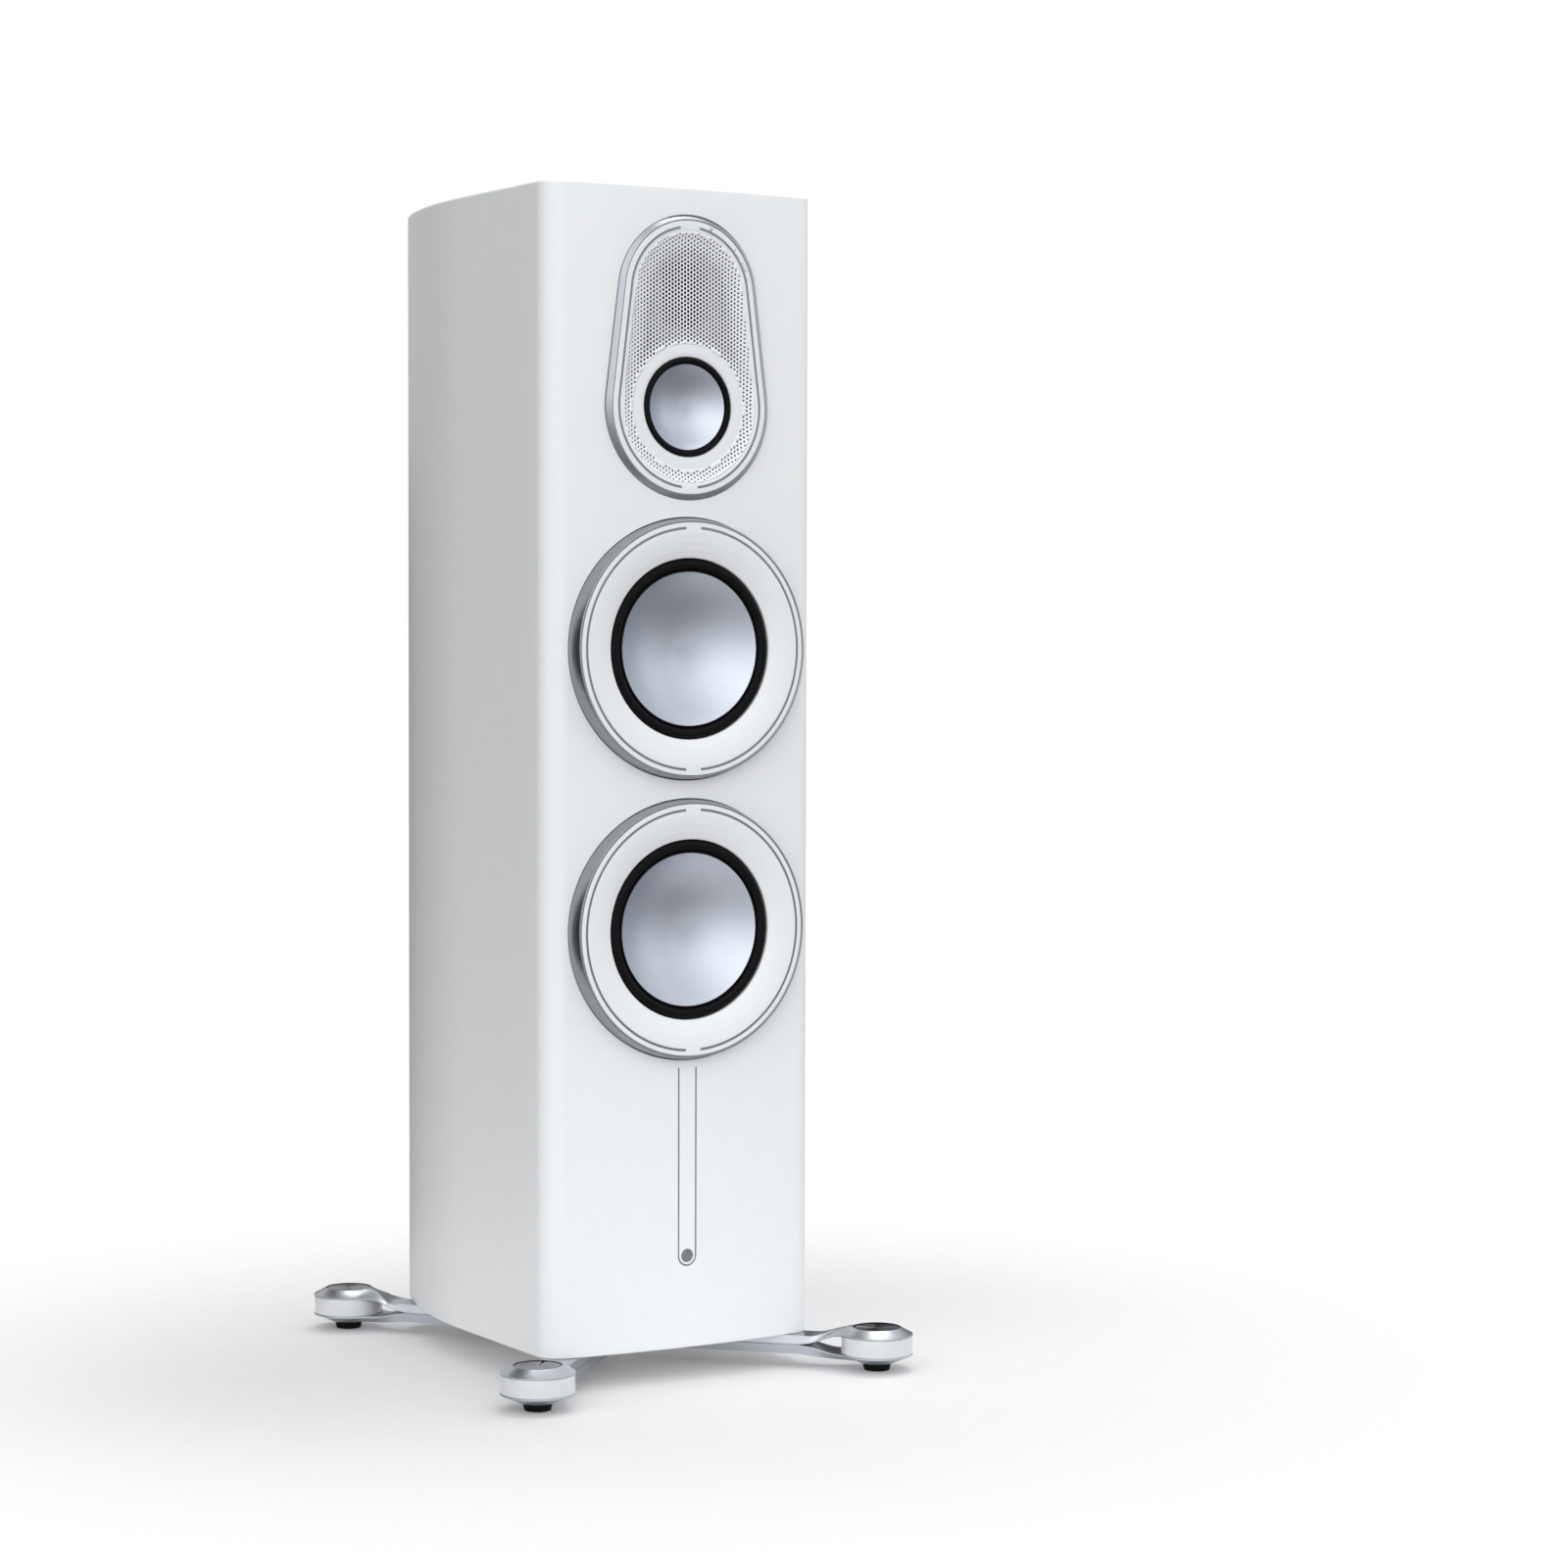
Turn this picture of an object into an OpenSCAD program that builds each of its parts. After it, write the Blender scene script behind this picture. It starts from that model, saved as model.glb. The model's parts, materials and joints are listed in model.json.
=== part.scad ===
// Three-way floorstanding loudspeaker on four outrigger feet.
// Millimetres. +Z is up, the drivers face -Y, and +X is to the right seen from the front.
// The origin is on the floor, under the middle of the whole speaker.

/* [Cabinet] */
// Width of the cabinet
cabinet_w = 262; // [256:1:264]
// Height of the cabinet from its base to its top
cabinet_h = 989; // [985:1:1100]
// Depth of the cabinet from the middle of the front to the back
cabinet_d = 350; // [340:1:370]
// Air gap between the floor and the base
base_z = 28; // [27.5:0.5:28.5]
// How far the middle of the front bulges past its edges
front_bulge = 9; // [6:0.5:10]
// Radius of the two upright front edges
front_edge_r = 21; // [20:1:24]
// Length of the straight part of each side, from the front edge
side_straight = 138; // [130:2:150]
// Radius of the curve that draws each side in towards the back
side_curve_r = 490; // [470:10:520]
// Radius of the two upright rear edges
back_edge_r = 18; // [14:1:22]
// Thickness of the curved wall
wall_t = 18; // [15:1:20]
// Thickness of the top and the base
panel_t = 22; // [18:1:22]

/* [Drivers] */
// Height of the upper bass driver's axis above the floor
upper_bass_z = 626.5; // [626:0.5:630]
// Distance between the two bass drivers
bass_pitch = 239; // [235:1:245]
// Height of the midrange driver above the upper bass driver
mid_rise = 205; // [203:1:207]
// Height of the tweeter above the midrange driver
tweeter_rise = 95; // [93:1:97]
// How far the bass rings stand in front of the middle of the baffle
ring_proud = 9.7; // [9:0.1:10.5]
// How far the oblong plate stands in front of the middle of the baffle
plate_proud = 2.5; // [2:0.1:3]
// Travel of a bass cone each way
bass_travel = 5; // [2:0.5:5]
// Travel of the midrange cone each way
mid_travel = 1.5; // [0.5:0.5:1.5]

/* [Feet] */
// Sideways distance of the front feet from the middle
front_foot_x = 166; // [164:1:170]
// Sideways distance of the rear feet from the middle
rear_foot_x = 148; // [146:1:150]
// Distance of the feet in front of and behind the middle
foot_y = 205.5; // [205:0.5:208]
// Angle of the front arms from the width of the cabinet
front_arm_angle = 46; // [44:1:48]
// Angle of the rear arms from the width of the cabinet
rear_arm_angle = 55; // [53:1:57]
// Radius of the white puck in each foot
puck_r = 31.3; // [30:0.1:32]
// How far each pad can be screwed down
foot_travel = 8; // [4:1:8]

/* [Terminals] */
// Distance between the two terminals
terminal_pitch = 38; // [34:1:44]
// Radius of the socket in each terminal
socket_r = 2.05; // [2:0.05:2.1]

/* [Hidden] */

// Cabinet
half_w = cabinet_w / 2;
top_z = base_z + cabinet_h;
ring_y = -172.7;
front_y = ring_y + ring_proud;
back_y = front_y + cabinet_d;
front_r = (half_w * half_w + front_bulge * front_bulge) / (2 * front_bulge);
baffle_back_y = front_y + 31;
rebate_y = front_y + 13;
curve_y = front_y + front_bulge + front_edge_r + side_straight;

// Drivers: depths are measured back from the front of a ring or plate
lower_bass_z = upper_bass_z - bass_pitch;
mid_z = upper_bass_z + mid_rise;
tweeter_z = mid_z + tweeter_rise;
plate_y = front_y - plate_proud;
rebate_depth = rebate_y - ring_y;
ring_r = 112;
face_r = 107.3;
inlay_r = 103.6;
inlay_w = 2.2;
inlay_gap = 14;
inlay_sunk = 1.2;
bass_r = 77;
bass_cone_r = 65.6;
bass_hole_r = 90;
bass_rim_depth = 7;
bass_cone_deep = 25;
mid_ring_r = 53;
mid_r = 42.2;
mid_cone_r = 36.4;
mid_rim_depth = 5;
mid_cone_deep = 14;
mid_depth = rebate_y - plate_y;
plate_low_r = 79;
plate_high_r = 67;
plate_lean = asin((plate_low_r - plate_high_r) / tweeter_rise);
bezel_w = 4.8;
grille_inset = 14;

// Badge and long inlay
inlay_half = 8.4;
inlay_top_z = upper_bass_z - 357;
badge_z = upper_bass_z - 519;
badge_r = 5.6;

// Crossover
board_z = base_z + panel_t + 6;

// Ports and terminals
port_r = 30;
port_heights = [700, 290];
terminal_z = 130;
post_r = 3;
post_top = 26;
washer_t = 2;
thread_clear = 0.06;
knob_len = 17;
knob_travel = 6;

// Feet
pad_h = 5.5;
puck_low_z = 14.6;
puck_high_z = 30;
disc_top_z = 37;
seam_z = 20;
bar_t = base_z - seam_z;
bar_low_z = seam_z - bar_t;
arm_w = 27;
front_arm_len = 205;
rear_arm_len = 190;
bolt_r = 3;
bolt_places = [120, 165];
spindle_r = 4;
spindle_clear = 0.06;
cap_r = 20;
key_w = 16;
key_clear = 0.4;
corner_feet = [
    [-front_foot_x, -foot_y, front_arm_angle, front_arm_len],
    [front_foot_x, -foot_y, 180 - front_arm_angle, front_arm_len],
    [-rear_foot_x, foot_y, -rear_arm_angle, rear_arm_len],
    [rear_foot_x, foot_y, 180 + rear_arm_angle, rear_arm_len]
];

white = [0.93, 0.93, 0.93];
silver = [0.72, 0.73, 0.76];
steel = [0.5, 0.51, 0.53];
black = [0.06, 0.06, 0.07];
board_green = [0.1, 0.3, 0.2];
fine = 128;

// Points on an arc about [x, y]
function arc(x, y, r, from, to, steps) =
    [for (i = [0:steps]) let (a = from + (to - from) * i / steps) [x + r * cos(a), y + r * sin(a)]];

function mirrored(points) = [for (i = [len(points) - 1:-1:0]) [-points[i][0], points[i][1]]];

// Right half of the cabinet's plan, drawn in by an inset
function half_plan(inset) =
    let (
        edge_r = max(front_edge_r - inset, 2),
        side_x = half_w - inset,
        front_centre = front_y + front_r,
        arc_r = front_r - inset,
        edge_y = front_centre - sqrt(pow(arc_r - edge_r, 2) - pow(side_x - edge_r, 2)),
        meet = atan2(edge_y - front_centre, side_x - edge_r),
        curve_r = side_curve_r - inset,
        rear_r = max(back_edge_r - inset, 2),
        rear_y = back_y - inset - rear_r,
        rear_x = side_x - curve_r + sqrt(pow(curve_r - rear_r, 2) - pow(rear_y - curve_y, 2)),
        end = atan2(rear_y - curve_y, rear_x - side_x + curve_r)
    )
    concat(
        arc(0, front_centre, arc_r, -89.9, meet, 16),
        arc(side_x - edge_r, edge_y, edge_r, meet + 5, 0, 9),
        arc(side_x - curve_r, curve_y, curve_r, 0, end, 18),
        arc(rear_x, rear_y, rear_r, end + 8, 90, 8)
    );

function cabinet_plan(inset) = concat(half_plan(inset), mirrored(half_plan(inset)));

// Outline of the oblong plate, drawn in by an inset
function plate_outline(inset) = concat(
    arc(0, tweeter_z, plate_high_r - inset, plate_lean, 180 - plate_lean, 48),
    arc(0, mid_z, plate_low_r - inset, 180 - plate_lean, 360 + plate_lean, 60)
);

// A driver's own axes: local Z runs back into the cabinet from the front of its ring
module at_driver(y, z) {
    translate([0, y, z]) rotate([-90, 0, 0]) children();
}

// A flat shape in the plane of the front, from one depth to another behind y
module slab(y, from, to) {
    translate([0, y + to, 0]) rotate([90, 0, 0]) linear_extrude(to - from) children();
}

module ring(outer, inner, from, to) {
    translate([0, 0, from]) difference() {
        cylinder(r = outer, h = to - from, $fn = fine);
        translate([0, 0, -1]) cylinder(r = inner, h = to - from + 2, $fn = fine);
    }
}

// ---- Cabinet ----

module cabinet_wrap() {
    color(white) difference() {
        translate([0, 0, base_z + panel_t]) linear_extrude(cabinet_h - 2 * panel_t) difference() {
            polygon(cabinet_plan(0));
            polygon(cabinet_plan(wall_t));
            translate([-half_w, baffle_back_y - cabinet_d]) square([cabinet_w, cabinet_d]);
        }
        for (z = port_heights) translate([0, back_y - wall_t - 1, z]) rotate([-90, 0, 0])
            cylinder(r = port_r + 3, h = wall_t + 2, $fn = fine);
        translate([0, back_y, terminal_z]) cube([72, 80, 72], center = true);
    }
}

module front_baffle() {
    color(white) difference() {
        translate([0, 0, base_z + panel_t]) linear_extrude(cabinet_h - 2 * panel_t) intersection() {
            polygon(cabinet_plan(0));
            translate([-half_w, baffle_back_y - cabinet_d]) square([cabinet_w, cabinet_d]);
        }
        for (z = [upper_bass_z, lower_bass_z]) at_driver(ring_y, z) {
            cylinder(r = ring_r, h = rebate_depth, $fn = fine);
            cylinder(r = bass_hole_r, h = 100, $fn = fine);
        }
        slab(plate_y, -5, mid_depth) polygon(plate_outline(0));
        at_driver(plate_y, mid_z) cylinder(r = 49, h = 100, $fn = fine);
        translate([0, rebate_y + 15, tweeter_z]) cube([66, 40, 70], center = true);
        front_inlay_shape(1);
        at_driver(front_y, badge_z) translate([0, 0, -5]) cylinder(r = badge_r, h = 6.5, $fn = fine);
    }
}

module top_panel() {
    color(white) translate([0, 0, top_z - panel_t]) linear_extrude(panel_t) polygon(cabinet_plan(0));
}

module base_panel() {
    color(white) difference() {
        translate([0, 0, base_z]) linear_extrude(panel_t) polygon(cabinet_plan(0));
        for (foot = corner_feet) at_bolts(foot) translate([0, 0, base_z - 1])
            cylinder(r = bolt_r, h = 16, $fn = 32);
    }
}

module braces() {
    color("tan") for (z = [759, 499, 205]) translate([0, 0, z]) linear_extrude(16) difference() {
        intersection() {
            polygon(cabinet_plan(wall_t));
            translate([-half_w, baffle_back_y]) square([cabinet_w, cabinet_d]);
        }
        for (y = [-65, 65]) translate([0, y]) circle(r = 48, $fn = fine);
    }
}

module mid_chamber() {
    color("tan") at_driver(baffle_back_y, mid_z) {
        ring(56, 51, 0, 120);
        translate([0, 0, 120]) cylinder(r = 56, h = 6, $fn = fine);
    }
}

// ---- Long inlay and badge on the front ----

// The two upright strips and the round end that joins them, sunk into the baffle
module front_inlay_shape(depth) {
    strip_w = 1.6;
    intersection() {
        slab(front_y, -2, depth) {
            for (side = [-1, 1]) translate([side * inlay_half - strip_w / 2, badge_z])
                square([strip_w, inlay_top_z - badge_z]);
            difference() {
                translate([0, badge_z]) circle(r = inlay_half + strip_w / 2, $fn = fine);
                translate([0, badge_z]) circle(r = inlay_half - strip_w / 2, $fn = fine);
                translate([-inlay_half * 2, badge_z]) square([inlay_half * 4, inlay_half * 2]);
            }
        }
        translate([0, 0, badge_z - 50]) linear_extrude(400) polygon(cabinet_plan(0));
    }
}

module front_inlay() {
    color(silver) front_inlay_shape(1);
}

module badge_disc() {
    color(steel) at_driver(front_y, badge_z) translate([0, 0, -0.6])
        cylinder(r = badge_r - 0.1, h = 2.1, $fn = fine);
}

// ---- Bass drivers ----

module bass_bezel(z) {
    color(silver) at_driver(ring_y, z) rotate_extrude($fn = fine) polygon([
        [face_r + 0.3, 0], [face_r + 1.2, 0.4], [face_r + 2.4, 4], [face_r + 3.6, 9],
        [ring_r - 0.5, 14], [ring_r - 0.1, 18], [ring_r - 0.1, rebate_depth],
        [100, rebate_depth], [100, 14], [face_r + 0.3, 14]
    ]);
}

module bass_face(z) {
    color(white) at_driver(ring_y, z) difference() {
        rotate_extrude($fn = fine) polygon([
            [face_r, 0], [97, 0], [90, 1], [84, 2.6], [79, 4.6], [bass_r + 0.5, 5.6], [bass_r, 6.4],
            [bass_r, 9], [84, 9], [96, 14], [face_r, 14]
        ]);
        inlay_arcs(inlay_r, inlay_sunk);
    }
}

// Two arcs with a gap at the top and at the bottom
module inlay_arcs(r, depth) {
    translate([0, 0, -0.01]) linear_extrude(depth + 0.01) difference() {
        circle(r = r, $fn = fine);
        circle(r = r - inlay_w, $fn = fine);
        translate([-inlay_gap / 2, -r * 1.5]) square([inlay_gap, r * 3]);
    }
}

// Die-cast frame: a flange, eight legs, a shelf for the spider and a seat for the magnet system
module bass_basket(z) {
    color(black) at_driver(ring_y, z) {
        ring(99.6, 80, 17, rebate_depth);
        ring(83, 79.6, 10, 17.01);
        ring(50, 40, 44, 50);
        for (leg = [0:7]) rotate([0, 0, leg * 45 + 22.5]) rotate([90, 0, 0]) translate([0, 0, -5])
            linear_extrude(10) polygon([
                [85, 20.5], [92, 20.5], [48, 49], [43, 49], [43, 45]
            ]);
    }
}

module bass_magnet(z) {
    color(steel) at_driver(ring_y, z) ring(50, 30, 56, 74);
}

// Top plate above the magnet, and the back plate with its pole
module bass_yoke(z) {
    color(steel) at_driver(ring_y, z) {
        ring(47, 21, 50, 56);
        translate([0, 0, 74]) cylinder(r = 47, h = 7, $fn = fine);
        translate([0, 0, 46]) cylinder(r = 18.2, h = 28.5, $fn = fine);
    }
}

// Half-roll edge between the frame and the cone, with the lip that is glued to the cone
module bass_surround(z) {
    roll_r = 4.6;
    roll_c = 72;
    color(black) at_driver(ring_y, z) rotate_extrude($fn = fine) polygon(concat(
        [[82, 10], [82, 9.1], [roll_c + roll_r, 9.1]],
        arc(roll_c, 9.1, roll_r, 0, -180, 12),
        [[66.5, 8.8], [66.1, 7.2], [bass_cone_r, 7.2], [bass_cone_r, 8.4], [66.4, 10]],
        arc(roll_c, 10, roll_r - 0.9, -180, 0, 12)
    ));
}

// Depth of a concave cone below its rim
function dish(r, rim_r, deep) = deep * (1 - pow(r / rim_r, 2.2));

module cone(y, z, rim_r, rim_depth, deep, thick) {
    steps = 16;
    color(silver) at_driver(y, z) rotate_extrude($fn = fine) polygon(concat(
        [for (i = [0:steps]) let (r = rim_r * i / steps) [r, rim_depth + dish(r, rim_r, deep)]],
        [for (i = [steps:-1:0]) let (r = rim_r * i / steps) [r, rim_depth + thick + dish(r, rim_r, deep)]]
    ));
}

module bass_cone(z) {
    cone(ring_y, z, bass_cone_r - 0.3, bass_rim_depth, bass_cone_deep, 1.2);
}

// Voice coil: the former behind the cone and the winding in the gap
module bass_coil(z) {
    start = bass_rim_depth + 1.3 + dish(18.6, bass_cone_r - 0.3, bass_cone_deep);
    color("peru") at_driver(ring_y, z) {
        ring(19.2, 18.6, start, 60);
        ring(20.2, 19.2, 46, 60);
    }
}

module bass_spider(z) {
    color("khaki") at_driver(ring_y, z) {
        ring(26, 19.3, 43, 44);
        ring(32, 26, 42.2, 43.2);
        ring(41.5, 32, 43, 44);
    }
}

module bass_magnets() {
    for (z = [upper_bass_z, lower_bass_z]) bass_magnet(z);
}

module bass_yokes() {
    for (z = [upper_bass_z, lower_bass_z]) bass_yoke(z);
}

// Rods that pull each bass driver back against the baffle
module tie_rods() {
    rod_start = ring_y + 81;
    color(steel) for (z = [upper_bass_z, lower_bass_z]) translate([0, rod_start, z]) rotate([-90, 0, 0])
        cylinder(r = 4, h = back_y - wall_t - rod_start, $fn = 48);
}

// ---- Inlays in the two bass rings and in the oblong plate ----

module plate_inlay(depth) {
    inset = 9.6;
    slab(plate_y, -0.01, depth) difference() {
        polygon(plate_outline(inset));
        polygon(plate_outline(inset + inlay_w));
        translate([-inlay_gap / 2, mid_z - 100]) square([inlay_gap, 300]);
    }
}

module ring_inlays() {
    color(steel) {
        for (z = [upper_bass_z, lower_bass_z]) at_driver(ring_y, z) inlay_arcs(inlay_r, inlay_sunk);
        plate_inlay(inlay_sunk);
    }
}

// ---- Oblong plate with the midrange driver and the tweeter ----

module plate_bezel() {
    color(silver) {
        slab(plate_y, 1.2, mid_depth) difference() {
            polygon(plate_outline(0.2));
            polygon(plate_outline(bezel_w));
        }
        slab(plate_y, 0, 1.2) difference() {
            polygon(plate_outline(2.4));
            polygon(plate_outline(bezel_w));
        }
    }
}

// Border of the plate, with a skirt down to the baffle
module plate_face() {
    color(white) difference() {
        union() {
            slab(plate_y, 0, 6) difference() {
                polygon(plate_outline(bezel_w + 0.3));
                polygon(plate_outline(grille_inset));
            }
            slab(plate_y, 5.9, mid_depth) difference() {
                polygon(plate_outline(bezel_w + 0.3));
                polygon(plate_outline(bezel_w + 3));
            }
        }
        plate_inlay(inlay_sunk);
    }
}

// Perforated sheet, with a round opening for the midrange driver
module mesh_grille() {
    color(white) slab(plate_y, 3, 4.2) difference() {
        polygon(plate_outline(grille_inset + 0.1));
        translate([0, mid_z]) circle(r = mid_ring_r + 0.1, $fn = fine);
    }
}

module mid_ring() {
    color(white) at_driver(plate_y, mid_z) rotate_extrude($fn = fine) polygon([
        [mid_ring_r, 3], [46, 3], [mid_r + 0.5, 3.2], [mid_r, 3.4], [mid_r, 3.8],
        [46.5, 4.2], [46.5, 6], [mid_ring_r, 6]
    ]);
}

module mid_basket() {
    color(black) at_driver(plate_y, mid_z) {
        ring(52.5, 44.5, 11, mid_depth);
        ring(46, 43.6, 5, 11.01);
        ring(32, 27, 27, 31);
        for (leg = [0:5]) rotate([0, 0, leg * 60 + 30]) rotate([90, 0, 0]) translate([0, 0, -3.5])
            linear_extrude(7) polygon([
                [45, 11.5], [48, 11.5], [48, mid_depth], [31, 30.5], [29.5, 30.5], [29.5, 27.1]
            ]);
    }
}

module mid_motor() {
    color(steel) at_driver(plate_y, mid_z) {
        ring(32, 14.2, 31, 35);
        ring(34, 20, 35, 47);
        translate([0, 0, 47]) cylinder(r = 32, h = 5, $fn = fine);
        translate([0, 0, 28]) cylinder(r = 11.8, h = 19.5, $fn = fine);
    }
}

module mid_surround() {
    roll_r = 2.3;
    roll_c = 39.6;
    color(black) at_driver(plate_y, mid_z) rotate_extrude($fn = fine) polygon(concat(
        [[45, 5], [45, 4.3], [roll_c + roll_r, 4.3]],
        arc(roll_c, 4.3, roll_r, 0, -180, 10),
        [[36.9, 4.4], [mid_cone_r, 4.6], [mid_cone_r, 5.4], [36.9, 5.3]],
        arc(roll_c, 5, roll_r - 0.7, -180, 0, 10)
    ));
}

module mid_cone() {
    cone(plate_y, mid_z, mid_cone_r - 0.2, mid_rim_depth, mid_cone_deep, 1);
}

module mid_coil() {
    start = mid_rim_depth + 1.1 + dish(12.3, mid_cone_r - 0.2, mid_cone_deep);
    color("peru") at_driver(plate_y, mid_z) {
        ring(12.8, 12.3, start, 37);
        ring(13.6, 12.8, 29, 37);
    }
}

module mid_spider() {
    color("khaki") at_driver(plate_y, mid_z) {
        ring(18, 12.9, 26.2, 27);
        ring(22, 18, 25.6, 26.4);
        ring(28.5, 22, 26.2, 27);
    }
}

// ---- Tweeter ----

// Body with a rectangular throat, open to the front
module tweeter_housing() {
    color(black) difference() {
        union() {
            translate([0, rebate_y + 9, tweeter_z]) cube([62, 32, 66], center = true);
            translate([0, rebate_y - 2, tweeter_z]) cube([74, 4, 78], center = true);
        }
        translate([0, rebate_y, tweeter_z]) cube([44, 36, 52], center = true);
    }
}

// Folded film that squeezes air out of its pleats
module tweeter_diaphragm() {
    pleat = 4;
    color("goldenrod") for (x = [-19:pleat:19]) translate([x, rebate_y + 14, tweeter_z])
        cube([1, 5, 50], center = true);
    color("goldenrod") translate([0, rebate_y + 16.25, tweeter_z]) cube([42, 0.5, 50], center = true);
}

module tweeter_magnets() {
    color(steel) for (side = [-1, 1]) translate([side * 14, rebate_y + 30, tweeter_z])
        cube([22, 10, 60], center = true);
}

// ---- Crossover ----

module crossover_board() {
    color(board_green) {
        translate([0, -15, board_z + 1]) cube([150, 180, 2], center = true);
        for (x = [-60, 60], y = [-90, 60]) translate([x, y, base_z + panel_t])
            cylinder(r = 4, h = 6, $fn = 32);
    }
}

// Three air-core coils and four capacitors
module crossover_parts() {
    color("peru") for (y = [-80, -25, 30]) translate([-42, y, board_z + 2]) difference() {
        cylinder(r = 22, h = 22, $fn = 64);
        translate([0, 0, -1]) cylinder(r = 9, h = 24, $fn = 64);
    }
    color("ivory") for (y = [-85, -50, -15, 20]) translate([10, y, board_z + 13]) rotate([0, 90, 0])
        cylinder(r = 11, h = 50, $fn = 64);
}

// ---- Ports and terminals on the back ----

module port_tubes() {
    color(black) for (z = port_heights) translate([0, back_y, z]) rotate([90, 0, 0]) {
        ring(port_r + 2.9, port_r, 0, 120);
        translate([0, 0, -2.5]) rotate_extrude($fn = fine) polygon([
            [port_r + 9, 2.5], [port_r + 9, 1.5], [port_r + 7, 0], [port_r + 4, 0],
            [port_r + 1, 1.2], [port_r, 2.51], [port_r + 2.9, 2.51]
        ]);
    }
}

// Plate let into the back, with a boss for each terminal
module terminal_tray() {
    color(black) translate([0, 0, terminal_z]) {
        translate([0, back_y - 11, 0]) cube([71.6, 26, 71.6], center = true);
        translate([0, back_y + 1.5, 0]) cube([84, 3, 84], center = true);
    }
}

module at_terminal(side) {
    translate([side * terminal_pitch / 2, back_y + 3, terminal_z]) rotate([-90, 0, 0]) children();
}

// Collar and threaded stud of each terminal, with the socket down its middle
module terminal_posts() {
    color("gold") for (side = [-1, 1]) at_terminal(side) difference() {
        union() {
            cylinder(r = 8, h = 2.5, $fn = fine);
            translate([0, 0, 2.49]) cylinder(r = post_r, h = post_top - 2.49, $fn = 64);
        }
        translate([0, 0, post_top - 20]) cylinder(r = socket_r, h = 21, $fn = 64);
    }
}

module washer(side) {
    color("gold") at_terminal(side) translate([0, 0, 2.6]) ring(8, post_r + thread_clear, 0, washer_t);
}

// Fluted nut that clamps the washer
module knob(side) {
    flutes = 12;
    color(steel) at_terminal(side) translate([0, 0, 2.7 + washer_t]) difference() {
        union() {
            cylinder(r = 8.4, h = 3, $fn = 64);
            translate([0, 0, 2.99]) cylinder(r = 9, h = knob_len - 4, $fn = 64);
            translate([0, 0, knob_len - 1.01]) cylinder(r = 8.2, h = 1.01, $fn = 64);
        }
        translate([0, 0, -1]) cylinder(r = post_r + thread_clear, h = knob_len + 2, $fn = 64);
        for (i = [0:flutes - 1]) rotate([0, 0, i * 360 / flutes]) translate([9.4, 0, 4])
            cylinder(r = 1.1, h = knob_len - 7, $fn = 24);
    }
}

// ---- Feet ----

// Local X runs from the middle of a foot along its arm
module at_foot(foot) {
    translate([foot[0], foot[1], 0]) rotate([0, 0, foot[2]]) children();
}

module at_bolts(foot) {
    at_foot(foot) for (place = bolt_places) translate([place, 0, 0]) children();
}

// A bar seen from its side, given a width
module side_profile(points, width) {
    rotate([90, 0, 0]) translate([0, 0, -width / 2]) linear_extrude(width) polygon(points);
}

// Upper half of an arm: it climbs from the seam to the disc on top of the puck
module upper_arm(length) {
    difference() {
        union() {
            side_profile([
                [20, puck_high_z + 0.5], [34, puck_high_z - 0.4], [46, 26.6], [58, 21.4], [66, seam_z],
                [length, seam_z], [length, base_z], [56, base_z], [50, 29.4], [42, 33], [34, 35.6], [20, 36.4]
            ], arm_w);
            translate([length, 0, seam_z]) cylinder(r = arm_w / 2, h = bar_t, $fn = 64);
            translate([0, 0, puck_high_z]) cylinder(r = puck_r, h = 1.6, $fn = fine);
            translate([0, 0, puck_high_z + 1.59]) cylinder(r1 = puck_r, r2 = cap_r + 2, h = 5.41, $fn = fine);
        }
        translate([0, 0, puck_high_z + 3]) cylinder(r = cap_r + 0.3, h = 10, $fn = fine);
        translate([0, 0, puck_high_z - 2]) cylinder(r = spindle_r + 0.5, h = 20, $fn = 64);
        translate([0, 0, puck_high_z - 5]) cylinder(r = puck_r + 0.01, h = 5, $fn = fine);
        for (place = bolt_places) translate([place, 0, 0]) cylinder(r = bolt_r, h = 60, $fn = 32);
    }
}

// Lower half of an arm: it drops from the seam to the disc under the puck
module lower_arm(length) {
    difference() {
        union() {
            side_profile([
                [20, puck_low_z - 0.4], [34, puck_low_z - 1], [46, 14.2], [58, 18], [66, seam_z],
                [length, seam_z], [length, bar_low_z], [72, bar_low_z], [58, 10.4], [46, 8.2], [34, 7], [20, 6.5]
            ], arm_w);
            translate([length, 0, bar_low_z]) cylinder(r = arm_w / 2, h = bar_t, $fn = 64);
            translate([0, 0, pad_h + 0.5]) cylinder(r1 = 15, r2 = puck_r, h = 7, $fn = fine);
            translate([0, 0, pad_h + 7.49]) cylinder(r = puck_r, h = puck_low_z - pad_h - 7.49, $fn = fine);
        }
        translate([-key_w / 2 - key_clear, -key_w / 2 - key_clear, 0])
            cube([key_w + 2 * key_clear, key_w + 2 * key_clear, puck_low_z + 5]);
        translate([0, 0, puck_low_z]) cylinder(r = puck_r + 0.01, h = 8, $fn = fine);
        for (place = bolt_places) translate([place, 0, 0]) {
            cylinder(r = bolt_r, h = 60, $fn = 32);
            translate([0, 0, bar_low_z - 1]) cylinder(r = bolt_r * 2, h = 4, $fn = 48);
        }
    }
}

module upper_arms() {
    color(silver) for (foot = corner_feet) at_foot(foot) upper_arm(foot[3]);
}

module lower_arms() {
    color(silver) for (foot = corner_feet) at_foot(foot) lower_arm(foot[3]);
}

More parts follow.
